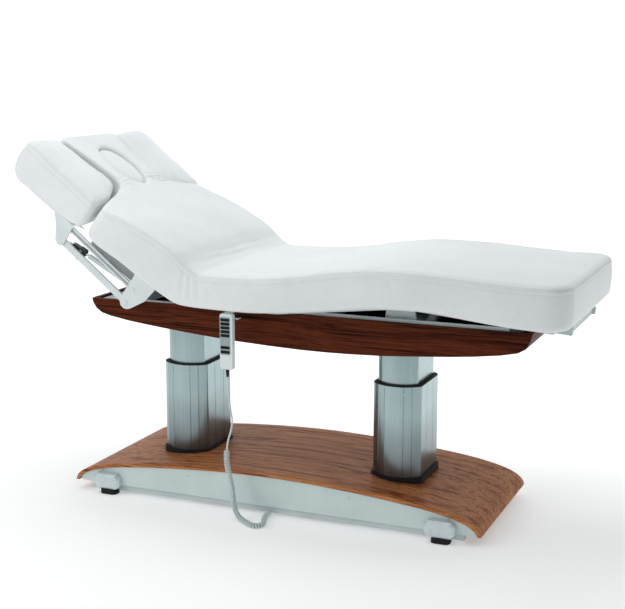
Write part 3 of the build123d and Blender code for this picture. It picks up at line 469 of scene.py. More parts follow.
class Bent:
    """(s, y, h): s along the piece, h up from the underside, to row-frame points."""

    def __init__(self, at, pairs):
        self.f = [hermite(at, [p[k][c] for p in pairs]) for k in (0, 1) for c in (0, 1)]

    def ends(self, s):
        bx, bz, tx, tz = (f(s) for f in self.f)
        return bx, bz, tx, tz

    def seam(self, s):
        bx, bz, tx, tz = self.ends(s)
        return np.hypot(tx - bx, tz - bz)

    def __call__(self, s, y, h):
        bx, bz, tx, tz = self.ends(s)
        L = np.hypot(tx - bx, tz - bz)
        return np.stack([bx + (tx - bx) / L * h + BX, y + 0 * bx, bz + (tz - bz) / L * h], -1)


bed = Bent(S_AT, stations)
S_FOOT = 0.0
S_SPLIT_A = float(np.interp(-0.130, -mid[:, 0], S_AT))       # middle of the seat
S_HEAD = float(S_AT[13])                                     # station u = 1.029
s_of_u = lambda u: S_HEAD + (u - 1.029)
S_SPLIT_B = s_of_u(0.950)


def arc(c, r, a0, a1, n):
    return [(c[0] + r * cos(a0 + (a1 - a0) * i / n), c[1] + r * sin(a0 + (a1 - a0) * i / n)) for i in range(n + 1)]


def along(points, positions):
    p = np.array(points, float)
    keep = np.concatenate([[True], np.linalg.norm(np.diff(p, axis=0), axis=1) > 1e-7])
    p = p[keep]
    s = np.concatenate([[0], np.cumsum(np.linalg.norm(np.diff(p, axis=0), axis=1))])
    q = np.asarray(positions) * s[-1]
    return np.stack([np.interp(q, s, p[:, 0]), np.interp(q, s, p[:, 1])], 1), s[-1]


EDGE = [0, 0.0014, 0.0032, 0.0055, 0.0083, 0.0117, 0.0157, 0.0203, 0.0255, 0.0313, 0.0378, 0.0450]


def spaced(length, step, near0=True, near1=True):
    """Positions 0..1 along a length, close together near the ends asked for."""
    e = [x for x in EDGE if x < length * 0.3]
    a = np.array(e) if near0 else np.array([0.0])
    b = length - np.array(e)[::-1] if near1 else np.array([length])
    n = max(2, int(round((b[0] - a[-1]) / step)))
    inner = np.linspace(a[-1], b[0], n + 1)[1:-1]
    return np.concatenate([a, inner, b]) / length


class Plan:
    """A piece's plan: rows along s, columns across, between two mirrored side lines and two end lines."""

    def __init__(self, side, end0, end1, step, real0=True, real1=True, yc=0.0, bend=0.0, reach=0.20, cols=None, half=None):
        # side: the +y line from the start to the end as (s, w); end0, end1: the start and end lines from -y to +y as (s, y)
        _, Ls = along(side, [0])
        rows = spaced(Ls, step, real0, real1)
        self.side, _ = along(side, rows)
        ref = half or max(w for s, w in side)
        self.eta = cols if cols is not None else spaced(2 * ref, step) * 2 - 1
        e0, L0 = along(end0, (self.eta + 1) / 2)
        e1, L1 = along(end1, (self.eta + 1) / 2)
        n, m = len(rows), len(self.eta)
        s_side, w_side = self.side[:, 0][:, None], self.side[:, 1][:, None]
        eta = self.eta[None, :]
        f = rows[:, None]
        centre = s_side[0] + (s_side[-1] - s_side[0]) * f if bend else s_side
        S = centre + (s_side - centre) * np.abs(eta) ** (bend or 1.0)
        Y = eta * w_side
        d0 = np.clip(1 - f * Ls / reach, 0, 1) ** 2
        d1 = np.clip(1 - (1 - f) * Ls / reach, 0, 1) ** 2
        if real0:
            S = S + (e0[:, 0][None, :] - S[0][None, :]) * d0
            Y = Y + (e0[:, 1][None, :] - Y[0][None, :]) * d0
        if real1:
            S = S + (e1[:, 0][None, :] - S[-1][None, :]) * d1
            Y = Y + (e1[:, 1][None, :] - Y[-1][None, :]) * d1
        self.S, self.Y, self.yc = S, Y, yc
        self.n, self.m, self.real0, self.real1 = n, m, real0, real1
        self.outline = list(side) + list(reversed(end1)) if real1 else list(side)


def boundary_tree(loop, step=0.0015):
    """Tree of points on a plan outline with their outward normals. loop: (s, y) points, anticlockwise."""
    p = np.array(loop, float)
    seg = np.linalg.norm(np.diff(p, axis=0), axis=1)
    s = np.concatenate([[0], np.cumsum(seg)])
    keep = np.concatenate([[True], seg > 1e-9])
    p, s = p[keep], s[keep]
    q = np.arange(0, s[-1], step)
    pts = np.stack([np.interp(q, s, p[:, 0]), np.interp(q, s, p[:, 1])], 1)
    t = np.gradient(pts, axis=0)
    k = np.ones(5) / 5
    t = np.stack([np.convolve(np.pad(t[:, c], 2, "edge"), k, "valid") for c in (0, 1)], 1)
    t /= np.linalg.norm(t, axis=1)[:, None]
    nrm = np.stack([t[:, 1], -t[:, 0]], 1)
    tree = kdtree.KDTree(len(pts))
    for i, a in enumerate(pts):
        tree.insert((a[0], a[1], 0), i)
    tree.balance()
    return tree, nrm


def soft_box(name, plan, bend_map, tree, nrm, roll=0.012, roll_w=0.026, crown=0.013, crown_w=0.30, bulge=0.005, low_r=0.014,
             toe=None, wrinkle=None, wall_wrinkle=None, material=None, dip=None, lift=0.0, rise=None, gap=0.013):
    """A stuffed box: rolled and crowned top, seam, side band with a stitched line, and rounded lower edge."""
    S, Y, n, m = plan.S, plan.Y, plan.n, plan.m
    D, NS, NY = np.zeros_like(S), np.zeros_like(S), np.zeros_like(S)
    for i in range(n):
        for j in range(m):
            _, k, d = tree.find((S[i, j], Y[i, j], 0))
            D[i, j], NS[i, j], NY[i, j] = d, nrm[k][0], nrm[k][1]
    Hs = bend_map.seam(S) + (rise(S, Y) if rise is not None else 0)
    rw = roll_w(S) if callable(roll_w) else roll_w
    dd = np.clip(D / rw, 0, 1)
    H = Hs + (roll(S) if callable(roll) else roll) * np.sqrt(np.clip(1 - (1 - dd) ** 2, 0, 1))
    H = H + (crown(S) if callable(crown) else crown) * (1 - (1 - np.clip(D / crown_w, 0, 1)) ** 2)
    top = bend_map(S, Y + plan.yc, H)
    if wrinkle is not None:
        top_h = wrinkle(S, Y + plan.yc, D, top)
        top = bend_map(S, Y + plan.yc, H + top_h)
    if dip is not None:
        H2 = H + (top_h if wrinkle is not None else 0)
        H2 = dip(S, Y + plan.yc, H2)
        top = bend_map(S, Y + plan.yc, H2)
        H = H2
    # ring of the top's border, anticlockwise seen from above: start side, +s side ...
    ring = [(i, 0) for i in range(n)] + [(n - 1, j) for j in range(1, m)] + [(i, m - 1) for i in range(n - 2, -1, -1)] + [(0, j) for j in range(m - 2, 0, -1)]
    split = []
    for i, j in ring:
        split.append((i == 0 and not plan.real0 and 0 < j < m - 1) or (i == n - 1 and not plan.real1 and 0 < j < m - 1))
    depth = [0.0014, 0.0034, 0.0062, 0.0094, gap - 0.0012, gap, gap + 0.0012, gap + 0.0036, gap + 0.0070, gap + 0.0115]
    R = np.array([r for r in ring])
    rs, ry, rh = S[R[:, 0], R[:, 1]], Y[R[:, 0], R[:, 1]], Hs[R[:, 0], R[:, 1]]
    rn, rm = NS[R[:, 0], R[:, 1]], NY[R[:, 0], R[:, 1]]
    hmin = float(rh.min())
    low = hmin - low_r
    rest = np.linspace(depth[-1], low, 9)[1:]
    ts = depth + list(rest)
    arcs = 6
    verts = [tuple(p) for p in top.reshape(-1, 3)]
    split_a = np.array(split)
    bul = bulge(rs, ry) if callable(bulge) else np.full(len(ring), bulge)
    toe_v = toe(rs, ry) if toe is not None else (np.full(len(ring), low_r), np.full(len(ring), low_r))
    start_of_wall = len(verts)
    rows = []
    top_h_ring = H[R[:, 0], R[:, 1]]
    for t in ts:
        f = t / low                                    # 0 at the seam, 1 where the lower rounding starts
        tt = t / hmin
        off = bul * np.sin(pi * min(1, tt)) ** 0.8
        if t < gap - 0.0005:
            off = off + 0.0012 * sin(pi * min(1, t / (gap - 0.0005)))
        o = off - 0.0011 * np.exp(-((t - gap) / 0.0009) ** 2)
        wall_low = rh - toe_v[1]
        hh = rh - np.minimum(t, depth[-1]) - np.clip((t - depth[-1]) / (low - depth[-1]), 0, 1) * (wall_low - depth[-1])
        if wall_wrinkle is not None:
            o = o + wall_wrinkle(rs, ry, f, rn, rm)
        o = np.where(split_a, 0, o)
        hh = np.where(split_a, top_h_ring * (1 - t / (hmin + 0.0)), hh)
        rows.append(bend_map(rs + rn * o, ry + rm * o + plan.yc, hh))
    base_off = 0.0
    for k in range(1, arcs + 1):
        a = k / arcs * pi / 2
        o = -toe_v[0] * (1 - cos(a)) + bul * sin(pi * low / hmin) ** 0.8 * cos(a)
        if wall_wrinkle is not None:
            o = o + wall_wrinkle(rs, ry, 1.0, rn, rm) * cos(a)
        hh = toe_v[1] * (1 - sin(a))
        o = np.where(split_a, 0, o)
        hh = np.where(split_a, top_h_ring * (1 - low / hmin) * (1 - sin(a)), hh)
        rows.append(bend_map(rs + rn * o, ry + rm * o + plan.yc, hh))
    # seam: the border itself sits a little inside
    seam_in = np.where(split_a, 0, 0.0013)
    sp = bend_map(rs - rn * seam_in, ry - rm * seam_in + plan.yc, np.where(split_a, top_h_ring, rh))
    for k, (i, j) in enumerate(ring):
        verts[i * m + j] = tuple(sp[k])
    for r in rows:
        verts += [tuple(p) for p in r]
    nr = len(ring)
    last = start_of_wall + (len(rows) - 1) * nr
    # underside
    inset = np.exp(-D / 0.03)
    if toe is not None:
        ti = np.zeros_like(S)
        for i in range(n):
            ti[i], _ = toe(S[i], Y[i])
    else:
        ti = np.full_like(S, low_r)
    SB, YB = S - NS * ti * inset, Y - NY * ti * inset
    if not plan.real0:
        SB[0] = S[0]
    if not plan.real1:
        SB[-1] = S[-1]
    bottom = bend_map(SB, YB + plan.yc, lift * smoothstep(D, 0.004, 0.04))
    idx = {}
    for k, rc in enumerate(ring):
        idx[rc] = last + k
    start_bottom = len(verts)
    for i in range(1, n - 1):
        for j in range(1, m - 1):
            idx[(i, j)] = len(verts)
            verts.append(tuple(bottom[i, j]))
    faces, tags = [], []
    for i in range(n - 1):
        for j in range(m - 1):
            a = i * m + j
            faces.append((a, a + m, a + m + 1, a + 1))
            tags.append(0)
    prev = [i * m + j for i, j in ring]
    for r in range(len(rows)):
        cur = [start_of_wall + r * nr + k for k in range(nr)]
        for k in range(nr):
            k2 = (k + 1) % nr
            faces.append((prev[k], cur[k], cur[k2], prev[k2]))
            tags.append(2 if (split[k] or split[k2]) else 1)
        prev = cur
    for i in range(n - 1):
        for j in range(m - 1):
            faces.append((idx[(i, j)], idx[(i, j + 1)], idx[(i + 1, j + 1)], idx[(i + 1, j)]))
            tags.append(3)
    me = bpy.data.meshes.new(name)
    me.from_pydata(verts, [], faces)
    me.update()
    bm = bmesh.new()
    bm.from_mesh(me)
    lay = bm.faces.layers.int.new("tag")
    bm.faces.ensure_lookup_table()
    for f, tg in zip(bm.faces, tags):
        f[lay] = tg
        f.smooth = True
    bmesh.ops.recalc_face_normals(bm, faces=bm.faces[:])
    for e in bm.edges:
        if len(e.link_faces) == 2:
            a, b = e.link_faces[0][lay], e.link_faces[1][lay]
            if (a == 2) != (b == 2):
                e.smooth = False
    bm.faces.layers.int.remove(lay)
    bm.to_mesh(me)
    bm.free()
    obj = bpy.data.objects.new(name, me)
    if material is not None:
        me.materials.append(material)
    link(obj)
    info = {"ring": [i * m + j for i, j in ring], "split": split, "wall": start_of_wall, "nr": nr, "rows": len(rows), "m": m, "n": n, "ring_ij": ring}
    return obj, info


def vnoise(S, Y, ks, ky, seed=0.0, octaves=1):
    out = np.zeros_like(S)
    for i in range(S.shape[0]):
        for j in range(S.shape[1]):
            v, a, f = 0.0, 1.0, 1.0
            for _ in range(octaves):
                v += a * noise.noise(Vector((S[i, j] * ks * f + seed, Y[i, j] * ky * f - seed, seed * 1.7)))
                a *= 0.5
                f *= 2.0
            out[i, j] = v
    return out


def vnoise1(s, y, k, seed=0.0):
    return np.array([noise.noise(Vector((a * k + seed, b * k - seed, seed * 1.3))) for a, b in zip(s, y)])


# plan outline of mattress and head cushion together, anticlockwise in (s, y)
S_SH = s_of_u(1.068)
S_NECK = s_of_u(1.385)
S_END = s_of_u(1.413)
FR = 0.078


def rounded(points, times=3):
    """Cut the corners of an open polyline; its two ends stay."""
    p = [np.array(a, float) for a in points]
    for _ in range(times):
        q = [p[0]]
        for a, b in zip(p[:-1], p[1:]):
            q += [0.75 * a + 0.25 * b, 0.25 * a + 0.75 * b]
        p = q + [p[-1]]
    return [tuple(a) for a in p]


# shoulder, neck and head: square shoulders that slope in to a narrow neck, then the cushion widens to the end
shoulder = rounded([(s_of_u(u), w) for u, w in ((0.985, 0.375), (1.020, 0.375), (1.042, 0.372), (1.055, 0.362), (1.062, 0.345), (1.070, 0.316), (1.081, 0.280),
                                                (1.093, 0.238), (1.108, 0.200), (1.121, 0.170), (1.136, 0.147), (1.155, 0.133), (1.180, 0.1285), (1.210, 0.1310),
                                                (1.240, 0.1355), (1.280, 0.1450), (1.315, 0.1530), (1.350, 0.1625), (1.384, 0.172))], 3)
corner = arc((s_of_u(1.391), 0.152), 0.022, 1.75, 0, 10)
half_side = arc((FR, 0.375 - FR), FR, pi, pi / 2, 14) + shoulder + corner
outline = [(0.0, 0.0)] + [(s, -y) for s, y in half_side] + [(S_END, 0.0)] + [(s, y) for s, y in reversed(half_side)] + [(0.0, 0.0)]
bed_tree, bed_nrm = boundary_tree(outline)

STEP = 0.0068
side_a = arc((FR, 0.375 - FR), FR, 3 * pi / 4, pi / 2, 8) + [(S_SPLIT_A, 0.375)]
end_a = [(s, -y) for s, y in arc((FR, 0.375 - FR), FR, 3 * pi / 4, pi, 8)] + arc((FR, 0.375 - FR), FR, pi, 3 * pi / 4, 8)
flat = [(0, -0.375), (0, 0.375)]
plan_a = Plan(side_a, end_a, flat, STEP, True, False, reach=0.19)
plan_b = Plan([(S_SPLIT_A, 0.375), (S_SPLIT_B, 0.375)], flat, flat, STEP, False, False, cols=plan_a.eta)
side_c = [(S_SPLIT_B, 0.375)] + shoulder + arc((s_of_u(1.391), 0.152), 0.022, 1.75, pi / 4, 6)
end_c = [(s, -y) for s, y in arc((s_of_u(1.391), 0.152), 0.022, pi / 4, 0, 6)] + arc((s_of_u(1.391), 0.152), 0.022, 0, pi / 4, 6)
plan_c = Plan(side_c, flat, end_c, 0.0033, False, True, bend=3.0, reach=0.08, cols=plan_a.eta)

S_HIP = float(np.interp(0.225, -mid[:, 0], S_AT))            # fold between seat and back
S_KNEE = float(np.interp(-0.475, -mid[:, 0], S_AT))


def crease(S, Y, a, b, depth, width, wander=0.0, seed=0.0):
    """A soft fold along a line from a to b in (s, y), fading at both ends."""
    a, b = np.array(a), np.array(b)
    d = b - a
    L = float(np.linalg.norm(d))
    d = d / L
    t = (S - a[0]) * d[0] + (Y - a[1]) * d[1]
    off = -(S - a[0]) * d[1] + (Y - a[1]) * d[0]
    off = off - wander * np.sin(t / L * 5.1 + seed) * (1 + 0.4 * np.sin(t / L * 13 + 2 * seed))
    fade = smoothstep(t, -0.15 * L, 0.25 * L) * (1 - smoothstep(t, 0.75 * L, 1.15 * L))
    x = off / width
    return depth * fade * (-np.exp(-x * x) + 0.45 * np.exp(-(np.abs(x) - 1.9) ** 2 / 0.9))


def bed_wrinkle(S, Y, D, top):
    """Slack in the cover: long soft waves, small puckers at the seam, folds where the sections meet."""
    h = 0.0011 * vnoise(S, Y, 5.5, 4.0, 1.3, 2) * smoothstep(D, 0.0, 0.08)
    pucker = vnoise(S, Y, 34, 34, 4.4, 2)
    h = h + 0.0010 * pucker * np.exp(-((D - 0.014) / 0.016) ** 2)
    rnd = random.Random(11)
    for k in range(7):
        y0 = rnd.uniform(-0.33, 0.05)
        y1 = y0 + rnd.uniform(0.16, 0.34)
        s0 = S_HIP + rnd.uniform(-0.05, 0.05)
        h = h + crease(S, Y, (s0, y0), (s0 + rnd.uniform(-0.03, 0.03), y1), rnd.uniform(0.0008, 0.0022), rnd.uniform(0.006, 0.012), 0.004, k)
    for k in range(6):
        y0 = rnd.uniform(-0.34, 0.1)
        s0 = S_KNEE + rnd.uniform(-0.06, 0.06)
        h = h + crease(S, Y, (s0, y0), (s0 + rnd.uniform(-0.03, 0.03), y0 + rnd.uniform(0.12, 0.25)), rnd.uniform(0.0005, 0.0012), rnd.uniform(0.006, 0.011), 0.004, k + 9)
    # pulls at the neck, running in from both sides; the far ones are longer
    for sg, kk in ((-1, 0.75), (1, 1.15)):
        for k, (ua, ya, ub, yb, dp) in enumerate(((1.128, 0.155, 1.137, 0.050, 0.0030), (1.144, 0.140, 1.150, 0.040, 0.0032), (1.113, 0.180, 1.122, 0.075, 0.0022),
                                                  (1.160, 0.130, 1.166, 0.070, 0.0018), (1.080, 0.270, 1.045, 0.225, 0.0012), (1.064, 0.320, 1.030, 0.300, 0.0012))):
            h = h + crease(S, Y, (s_of_u(ua), sg * ya), (s_of_u(ub), sg * yb), dp * kk, 0.0048, 0.0018, k)
    return h


def bed_wall_wrinkle(s, y, f, rn, rm):
    w = 0.0012 * vnoise1(s, y, 13.0, 2.2) * sin(pi * min(1.0, f))
    w = w + 0.0009 * vnoise1(s, y, 42.0, 5.2) * sin(pi * min(1.0, f)) * (1 - 0.6 * f)
    # the cover gathers on the inside of the bend at the hip and the knee
    for s0, amp, wid in ((S_HIP, 0.0030, 0.006), (S_HIP + 0.030, 0.0022, 0.007), (S_HIP - 0.034, 0.0016, 0.008), (S_KNEE, 0.0012, 0.007), (S_KNEE + 0.05, 0.0008, 0.006)):
        x = (s - s0 - 0.02 * (0.5 - f)) / wid
        w = w + amp * (-np.exp(-x * x) + 0.5 * np.exp(-(np.abs(x) - 2) ** 2)) * sin(pi * min(1.0, f)) ** 0.7 * (np.abs(rm) > 0.7)
    return w


def bed_toe(s, y):
    w = smoothstep(np.abs(y), 0.150, 0.230) * smoothstep(s, S_SH - 0.030, S_SH - 0.002)
    e = 1 - smoothstep(s, 0.0, 0.085)
    return 0.014 + 0.018 * w + 0.004 * e, 0.014 + 0.006 * w + 0.010 * e


SLOT_U, SLOT_A, SLOT_B = 1.233, 0.107, 0.0745


def slot_dip(S, Y, H):
    """The cover rolls down into the face opening."""
    du, dy = S - s_of_u(SLOT_U), Y
    r = np.sqrt((du / SLOT_A) ** 2 + (dy / SLOT_B) ** 2)
    grad = np.sqrt((du / SLOT_A ** 2) ** 2 + (dy / SLOT_B ** 2) ** 2) / np.maximum(r, 1e-6)
    dist = (r - 1) / np.maximum(grad, 1e-6)
    t = np.clip(dist / 0.016, 0, 1)
    return H - 0.0100 * (1 - np.sqrt(np.clip(1 - (1 - t) ** 2, 0, 1)))


head_on = lambda S: smoothstep(S, s_of_u(0.965), s_of_u(1.040))


def head_rise(S, Y):
    """Towards the head end the top stands level between the outer edges and drops only beside them."""
    return 0.0165 * smoothstep(0.375 - np.abs(Y), 0.0, 0.085) * head_on(S)



piece_a, info_a = soft_box("mattress_legs", plan_a, bed, bed_tree, bed_nrm, wrinkle=bed_wrinkle, wall_wrinkle=bed_wall_wrinkle, toe=bed_toe,
                           material=M["upholstery"], lift=0.003)
piece_b, info_b = soft_box("mattress_back", plan_b, bed, bed_tree, bed_nrm, wrinkle=bed_wrinkle, wall_wrinkle=bed_wall_wrinkle, toe=bed_toe,
                           material=M["upholstery"], lift=0.003)
piece_c, info_c = soft_box("mattress_head", plan_c, bed, bed_tree, bed_nrm, wrinkle=bed_wrinkle, wall_wrinkle=bed_wall_wrinkle, toe=bed_toe,
                           material=M["upholstery"], dip=slot_dip, lift=0.002, rise=head_rise, roll=lambda S: 0.012 - 0.0075 * head_on(S),
                           roll_w=lambda S: 0.026 - 0.012 * head_on(S), crown=lambda S: 0.013 - 0.008 * head_on(S),
                           bulge=lambda s, y: 0.005 - 0.0045 * smoothstep(s, s_of_u(1.050), s_of_u(1.085)))


def stitches(name, runs, pitch=0.0078, length=0.0052, radius=0.00055, lift=0.0001, material=None):
    """Short round threads laid along lines of (points, normals)."""
    verts, faces = [], []
    prof = [(-0.5, 0.0), (-0.42, 0.75), (-0.25, 1.0), (0.25, 1.0), (0.42, 0.75), (0.5, 0.0)]
    for pts, nrm in runs:
        p = np.array(pts, float)
        q = np.array(nrm, float)
        s = np.concatenate([[0], np.cumsum(np.linalg.norm(np.diff(p, axis=0), axis=1))])
        keep = np.concatenate([[True], np.diff(s) > 1e-9])
        p, q, s = p[keep], q[keep], s[keep]
        x = pitch * 0.5
        while x < s[-1] - pitch * 0.5:
            a = np.array([np.interp(x - length / 2, s, p[:, k]) for k in range(3)])
            b = np.array([np.interp(x + length / 2, s, p[:, k]) for k in range(3)])
            n = np.array([np.interp(x, s, q[:, k]) for k in range(3)])
            n /= np.linalg.norm(n)
            t = b - a
            L = np.linalg.norm(t)
            t /= L
            w = np.cross(t, n)
            w /= np.linalg.norm(w)
            n = np.cross(w, t)
            c = (a + b) / 2 + n * lift
            first = len(verts)
            verts.append(tuple(c + t * L * prof[0][0]))
            for f, r in prof[1:-1]:
                for k in range(6):
                    g = pi * k / 3
                    verts.append(tuple(c + t * L * f + radius * r * (cos(g) * n + sin(g) * w)))
            verts.append(tuple(c + t * L * prof[-1][0]))
            for k in range(6):
                faces.append((first, first + 1 + (k + 1) % 6, first + 1 + k))
            for rr in range(len(prof) - 3):
                for k in range(6):
                    u0 = first + 1 + rr * 6
                    faces.append((u0 + k, u0 + (k + 1) % 6, u0 + 6 + (k + 1) % 6, u0 + 6 + k))
            u0 = first + 1 + (len(prof) - 3) * 6
            e = len(verts) - 1
            for k in range(6):
                faces.append((e, u0 + k, u0 + (k + 1) % 6))
            x += pitch
    return mesh_object(name, verts, faces, True, material)


def wall_runs(obj, info, rows=(1, 5)):
    """Lines of points and normals along chosen rows of a piece's side band, left out at its hidden ends."""
    me = obj.data
    nr, w0, split = info["nr"], info["wall"], info["split"]
    start = 0
    if any(split):
        while not (split[start - 1] and not split[start]):
            start += 1
    order = [(start + k) % nr for k in range(nr)]
    out = []
    for r in rows:
        run = []
        for k in order:
            if split[k]:
                if len(run) > 3:
                    out.append(run)
                run = []
            else:
                run.append(w0 + r * nr + k)
        if not any(split):
            run.append(run[0])
        if len(run) > 3:
            out.append(run)
    return [([me.vertices[i].co[:] for i in run], [me.vertices[i].normal[:] for i in run]) for run in out]


thread_a = stitches("stitches_legs", wall_runs(piece_a, info_a), material=M["thread"])
thread_b = stitches("stitches_back", wall_runs(piece_b, info_b), material=M["thread"])
thread_c = stitches("stitches_head", wall_runs(piece_c, info_c), material=M["thread"])

# the face opening: cut right through the head cushion
hole_v, hole_f, NH = [], [], 96
for n_ in (0.36, 0.60):
    for k in range(NH):
        a = 2 * pi * k / NH
        x, z = un(SLOT_U + SLOT_A * cos(a), n_)
        hole_v.append((x, SLOT_B * sin(a), z))
for k in range(NH):
    hole_f.append((k, (k + 1) % NH, NH + (k + 1) % NH, NH + k))
hole_f += [tuple(range(NH - 1, -1, -1)), tuple(range(NH, 2 * NH))]
cutter = mesh_object("cutter", hole_v, hole_f, True)
bm = bmesh.new()
bm.from_mesh(cutter.data)
bmesh.ops.recalc_face_normals(bm, faces=bm.faces[:])
bm.to_mesh(cutter.data)
bm.free()
bo = piece_c.modifiers.new("cut", "BOOLEAN")
bo.operation, bo.solver, bo.object = "DIFFERENCE", "EXACT", cutter
bpy.context.view_layer.update()
cut_me = bpy.data.meshes.new_from_object(piece_c.evaluated_get(bpy.context.evaluated_depsgraph_get()))
piece_c.modifiers.clear()
old = piece_c.data
piece_c.data = cut_me
bpy.data.meshes.remove(old)
bpy.data.objects.remove(cutter)
bm = bmesh.new()
bm.from_mesh(cut_me)
for e in bm.edges:
    if len(e.link_faces) == 2 and e.calc_face_angle(0) > radians(50):
        e.smooth = False
for f in bm.faces:
    f.smooth = True
bm.to_mesh(cut_me)
bm.free()

# ---------------------------------------------------------------- arm pads and face plug
pad_us = [1.00, 1.079, 1.128, 1.178, 1.250, 1.300, 1.336, 1.371, 1.395, 1.418, 1.50]
pad_lo = [0.405, 0.404, 0.391, 0.388, 0.388, 0.386, 0.382, 0.380, 0.380, 0.380, 0.38]
pad_hi = [0.494, 0.499, 0.502, 0.505, 0.506, 0.508, 0.512, 0.513, 0.512, 0.508, 0.49]
pad_map = Bent(pad_us, [(hd(u, a), hd(u, b)) for u, a, b in zip(pad_us, pad_lo, pad_hi)])
# plan of the far pad, anticlockwise: inner side beside the head, upper end, outer side, lower end beside the shoulder
pad_loop = ([(1.160, 0.149), (1.176, 0.142), (1.200, 0.1415), (1.240, 0.1505), (1.280, 0.1615), (1.315, 0.1700), (1.350, 0.1785)] + arc((1.394, 0.210), 0.023, -1.9, 0, 8)
            + arc((1.383, 0.340), 0.035, 0, pi / 2, 10) + [(1.30, 0.375), (1.20, 0.375)] + arc((1.0995, 0.363), 0.012, pi / 2, pi, 6)
            + [(1.0885, 0.345), (1.093, 0.300), (1.103, 0.252), (1.122, 0.209), (1.138, 0.179), (1.149, 0.161)])


class Patch:
    """A piece's plan filled in between four curved sides."""

    def __init__(self, loop, corners, step, mirror=False):
        p = np.array(loop, float)
        for _ in range(2):
            b = np.roll(p, -1, axis=0)
            p = np.stack([0.75 * p + 0.25 * b, 0.25 * p + 0.75 * b], 1).reshape(-1, 2)
        n = len(p)
        at = [int(np.argmin(np.linalg.norm(p - np.array(c), axis=1))) for c in corners]

        def piece(a, b):
            idx = [(a + i) % n for i in range(((b - a) % n) + 1)]
            return p[idx]

        A, Dd, B, C = piece(at[0], at[1]), piece(at[1], at[2]), piece(at[2], at[3])[::-1], piece(at[3], at[0])[::-1]
        lf = (along(A, [0])[1] + along(B, [0])[1]) / 2
        lg = (along(C, [0])[1] + along(Dd, [0])[1]) / 2
        f, g = spaced(lf, step), spaced(lg, step)
        a, b, c, d = (along(q, w)[0] for q, w in ((A, f), (B, f), (C, g), (Dd, g)))
        F, G = f[:, None, None], g[None, :, None]
        P = ((1 - G) * a[:, None] + G * b[:, None] + (1 - F) * c[None] + F * d[None]
             - ((1 - F) * (1 - G) * a[0] + (1 - F) * G * b[0] + F * (1 - G) * a[-1] + F * G * b[-1]))
        self.S, self.Y = P[..., 0], P[..., 1]
        loop2 = np.concatenate([p, p[:1]])
        if mirror:
            self.S, self.Y = self.S[:, ::-1].copy(), -self.Y[:, ::-1]
            loop2 = loop2[::-1] * np.array([1, -1])
        self.loop = [tuple(q) for q in loop2]
        self.n, self.m, self.yc, self.real0, self.real1 = len(f), len(g), 0.0, True, True


def pad_toe(s, y):
    w = smoothstep(s, 1.36, 1.415)
    return 0.013 + 0.026 * w, 0.013 + 0.030 * w


def pad_rise(S, Y):
    return -0.008 * smoothstep(0.375 - np.abs(Y), 0.06, 0.20)


def pad_wrinkle_for(sign, seed):
    def f(S, Y, D, top):
        h = 0.0009 * vnoise(S, Y, 9, 9, seed, 2) * smoothstep(D, 0, 0.05)
        h = h + 0.0012 * vnoise(S, Y, 46, 46, seed + 2, 2) * np.exp(-((D - 0.013) / 0.014) ** 2)
        rnd = random.Random(int(seed * 10))
        for k in range(9):                         # pulls running up from the lower end
            q = rnd.uniform(0.05, 0.95)
            u0, y0 = 1.094 + 0.052 * q ** 1.5, 0.335 - 0.165 * q
            a = rnd.uniform(-0.5, 0.7)
            L = rnd.uniform(0.03, 0.07)
            h = h + crease(S, Y, (u0, sign * y0), (u0 + L * cos(a), sign * (y0 + L * sin(a))), rnd.uniform(0.0008, 0.0020), 0.0046, 0.0015, k)
        return h
    return f


def pad_wall_wrinkle(s, y, f, rn, rm):
    w = 0.0010 * vnoise1(s, y, 40.0, 6.2) * sin(pi * min(1.0, f))
    low_end = smoothstep(-rn, 0.35, 0.80)
    w = w + low_end * 0.0028 * np.abs(vnoise1(s + f * 0.03, y + 0.35 * f * 0.1, 75.0, 8.1)) * sin(pi * min(1.0, f)) ** 0.6
    return w


pads = {}
for side_name, sg in (("near", -1), ("far", 1)):
    plan = Patch(pad_loop, ((1.155, 0.154), (1.4105, 0.1925), (1.408, 0.365), (1.0908, 0.3715)), 0.0042, mirror=sg < 0)
    pad_tree, pad_nrm = boundary_tree(plan.loop)
    pads[side_name] = soft_box("arm_cushion_" + side_name, plan, pad_map, pad_tree, pad_nrm, roll=0.011, roll_w=0.024, crown=0.007, crown_w=0.09,
                               bulge=lambda s, y: 0.0008 + 0.0037 * smoothstep(np.abs(y), 0.20, 0.33) + 0.0025 * smoothstep(s, 1.38, 1.41), low_r=0.012,
                               toe=pad_toe, wrinkle=pad_wrinkle_for(sg, 3.3 + sg), wall_wrinkle=pad_wall_wrinkle,
                               material=M["upholstery"], lift=0.001, rise=pad_rise, gap=0.019)

PA, PB = SLOT_A - 0.0026, SLOT_B - 0.0026
el = lambda t: (SLOT_U + PA * cos(t), PB * sin(t))
plug_side = [el(3 * pi / 4 - pi / 2 * k / 24) for k in range(25)]
plug_e1 = [el(-pi / 4 + pi / 2 * k / 24) for k in range(25)]
plug_e0 = [el(5 * pi / 4 - pi / 2 * k / 24) for k in range(25)]
plug_plan = Plan(plug_side, plug_e0, plug_e1, 0.0034, True, True, reach=0.16)
plug_tree, plug_nrm = boundary_tree([el(pi + 2 * pi * k / 240) for k in range(241)])
plug_map = Bent([1.0, 1.233, 1.5], [(hd(u, 0.452), hd(u, 0.500)) for u in (1.0, 1.233, 1.5)])


def plug_wrinkle(S, Y, D, top):
    return 0.0006 * vnoise(S, Y, 16, 16, 2.7, 2) * smoothstep(D, 0, 0.03) + 0.0007 * vnoise(S, Y, 60, 60, 5.7, 2) * np.exp(-((D - 0.009) / 0.009) ** 2)


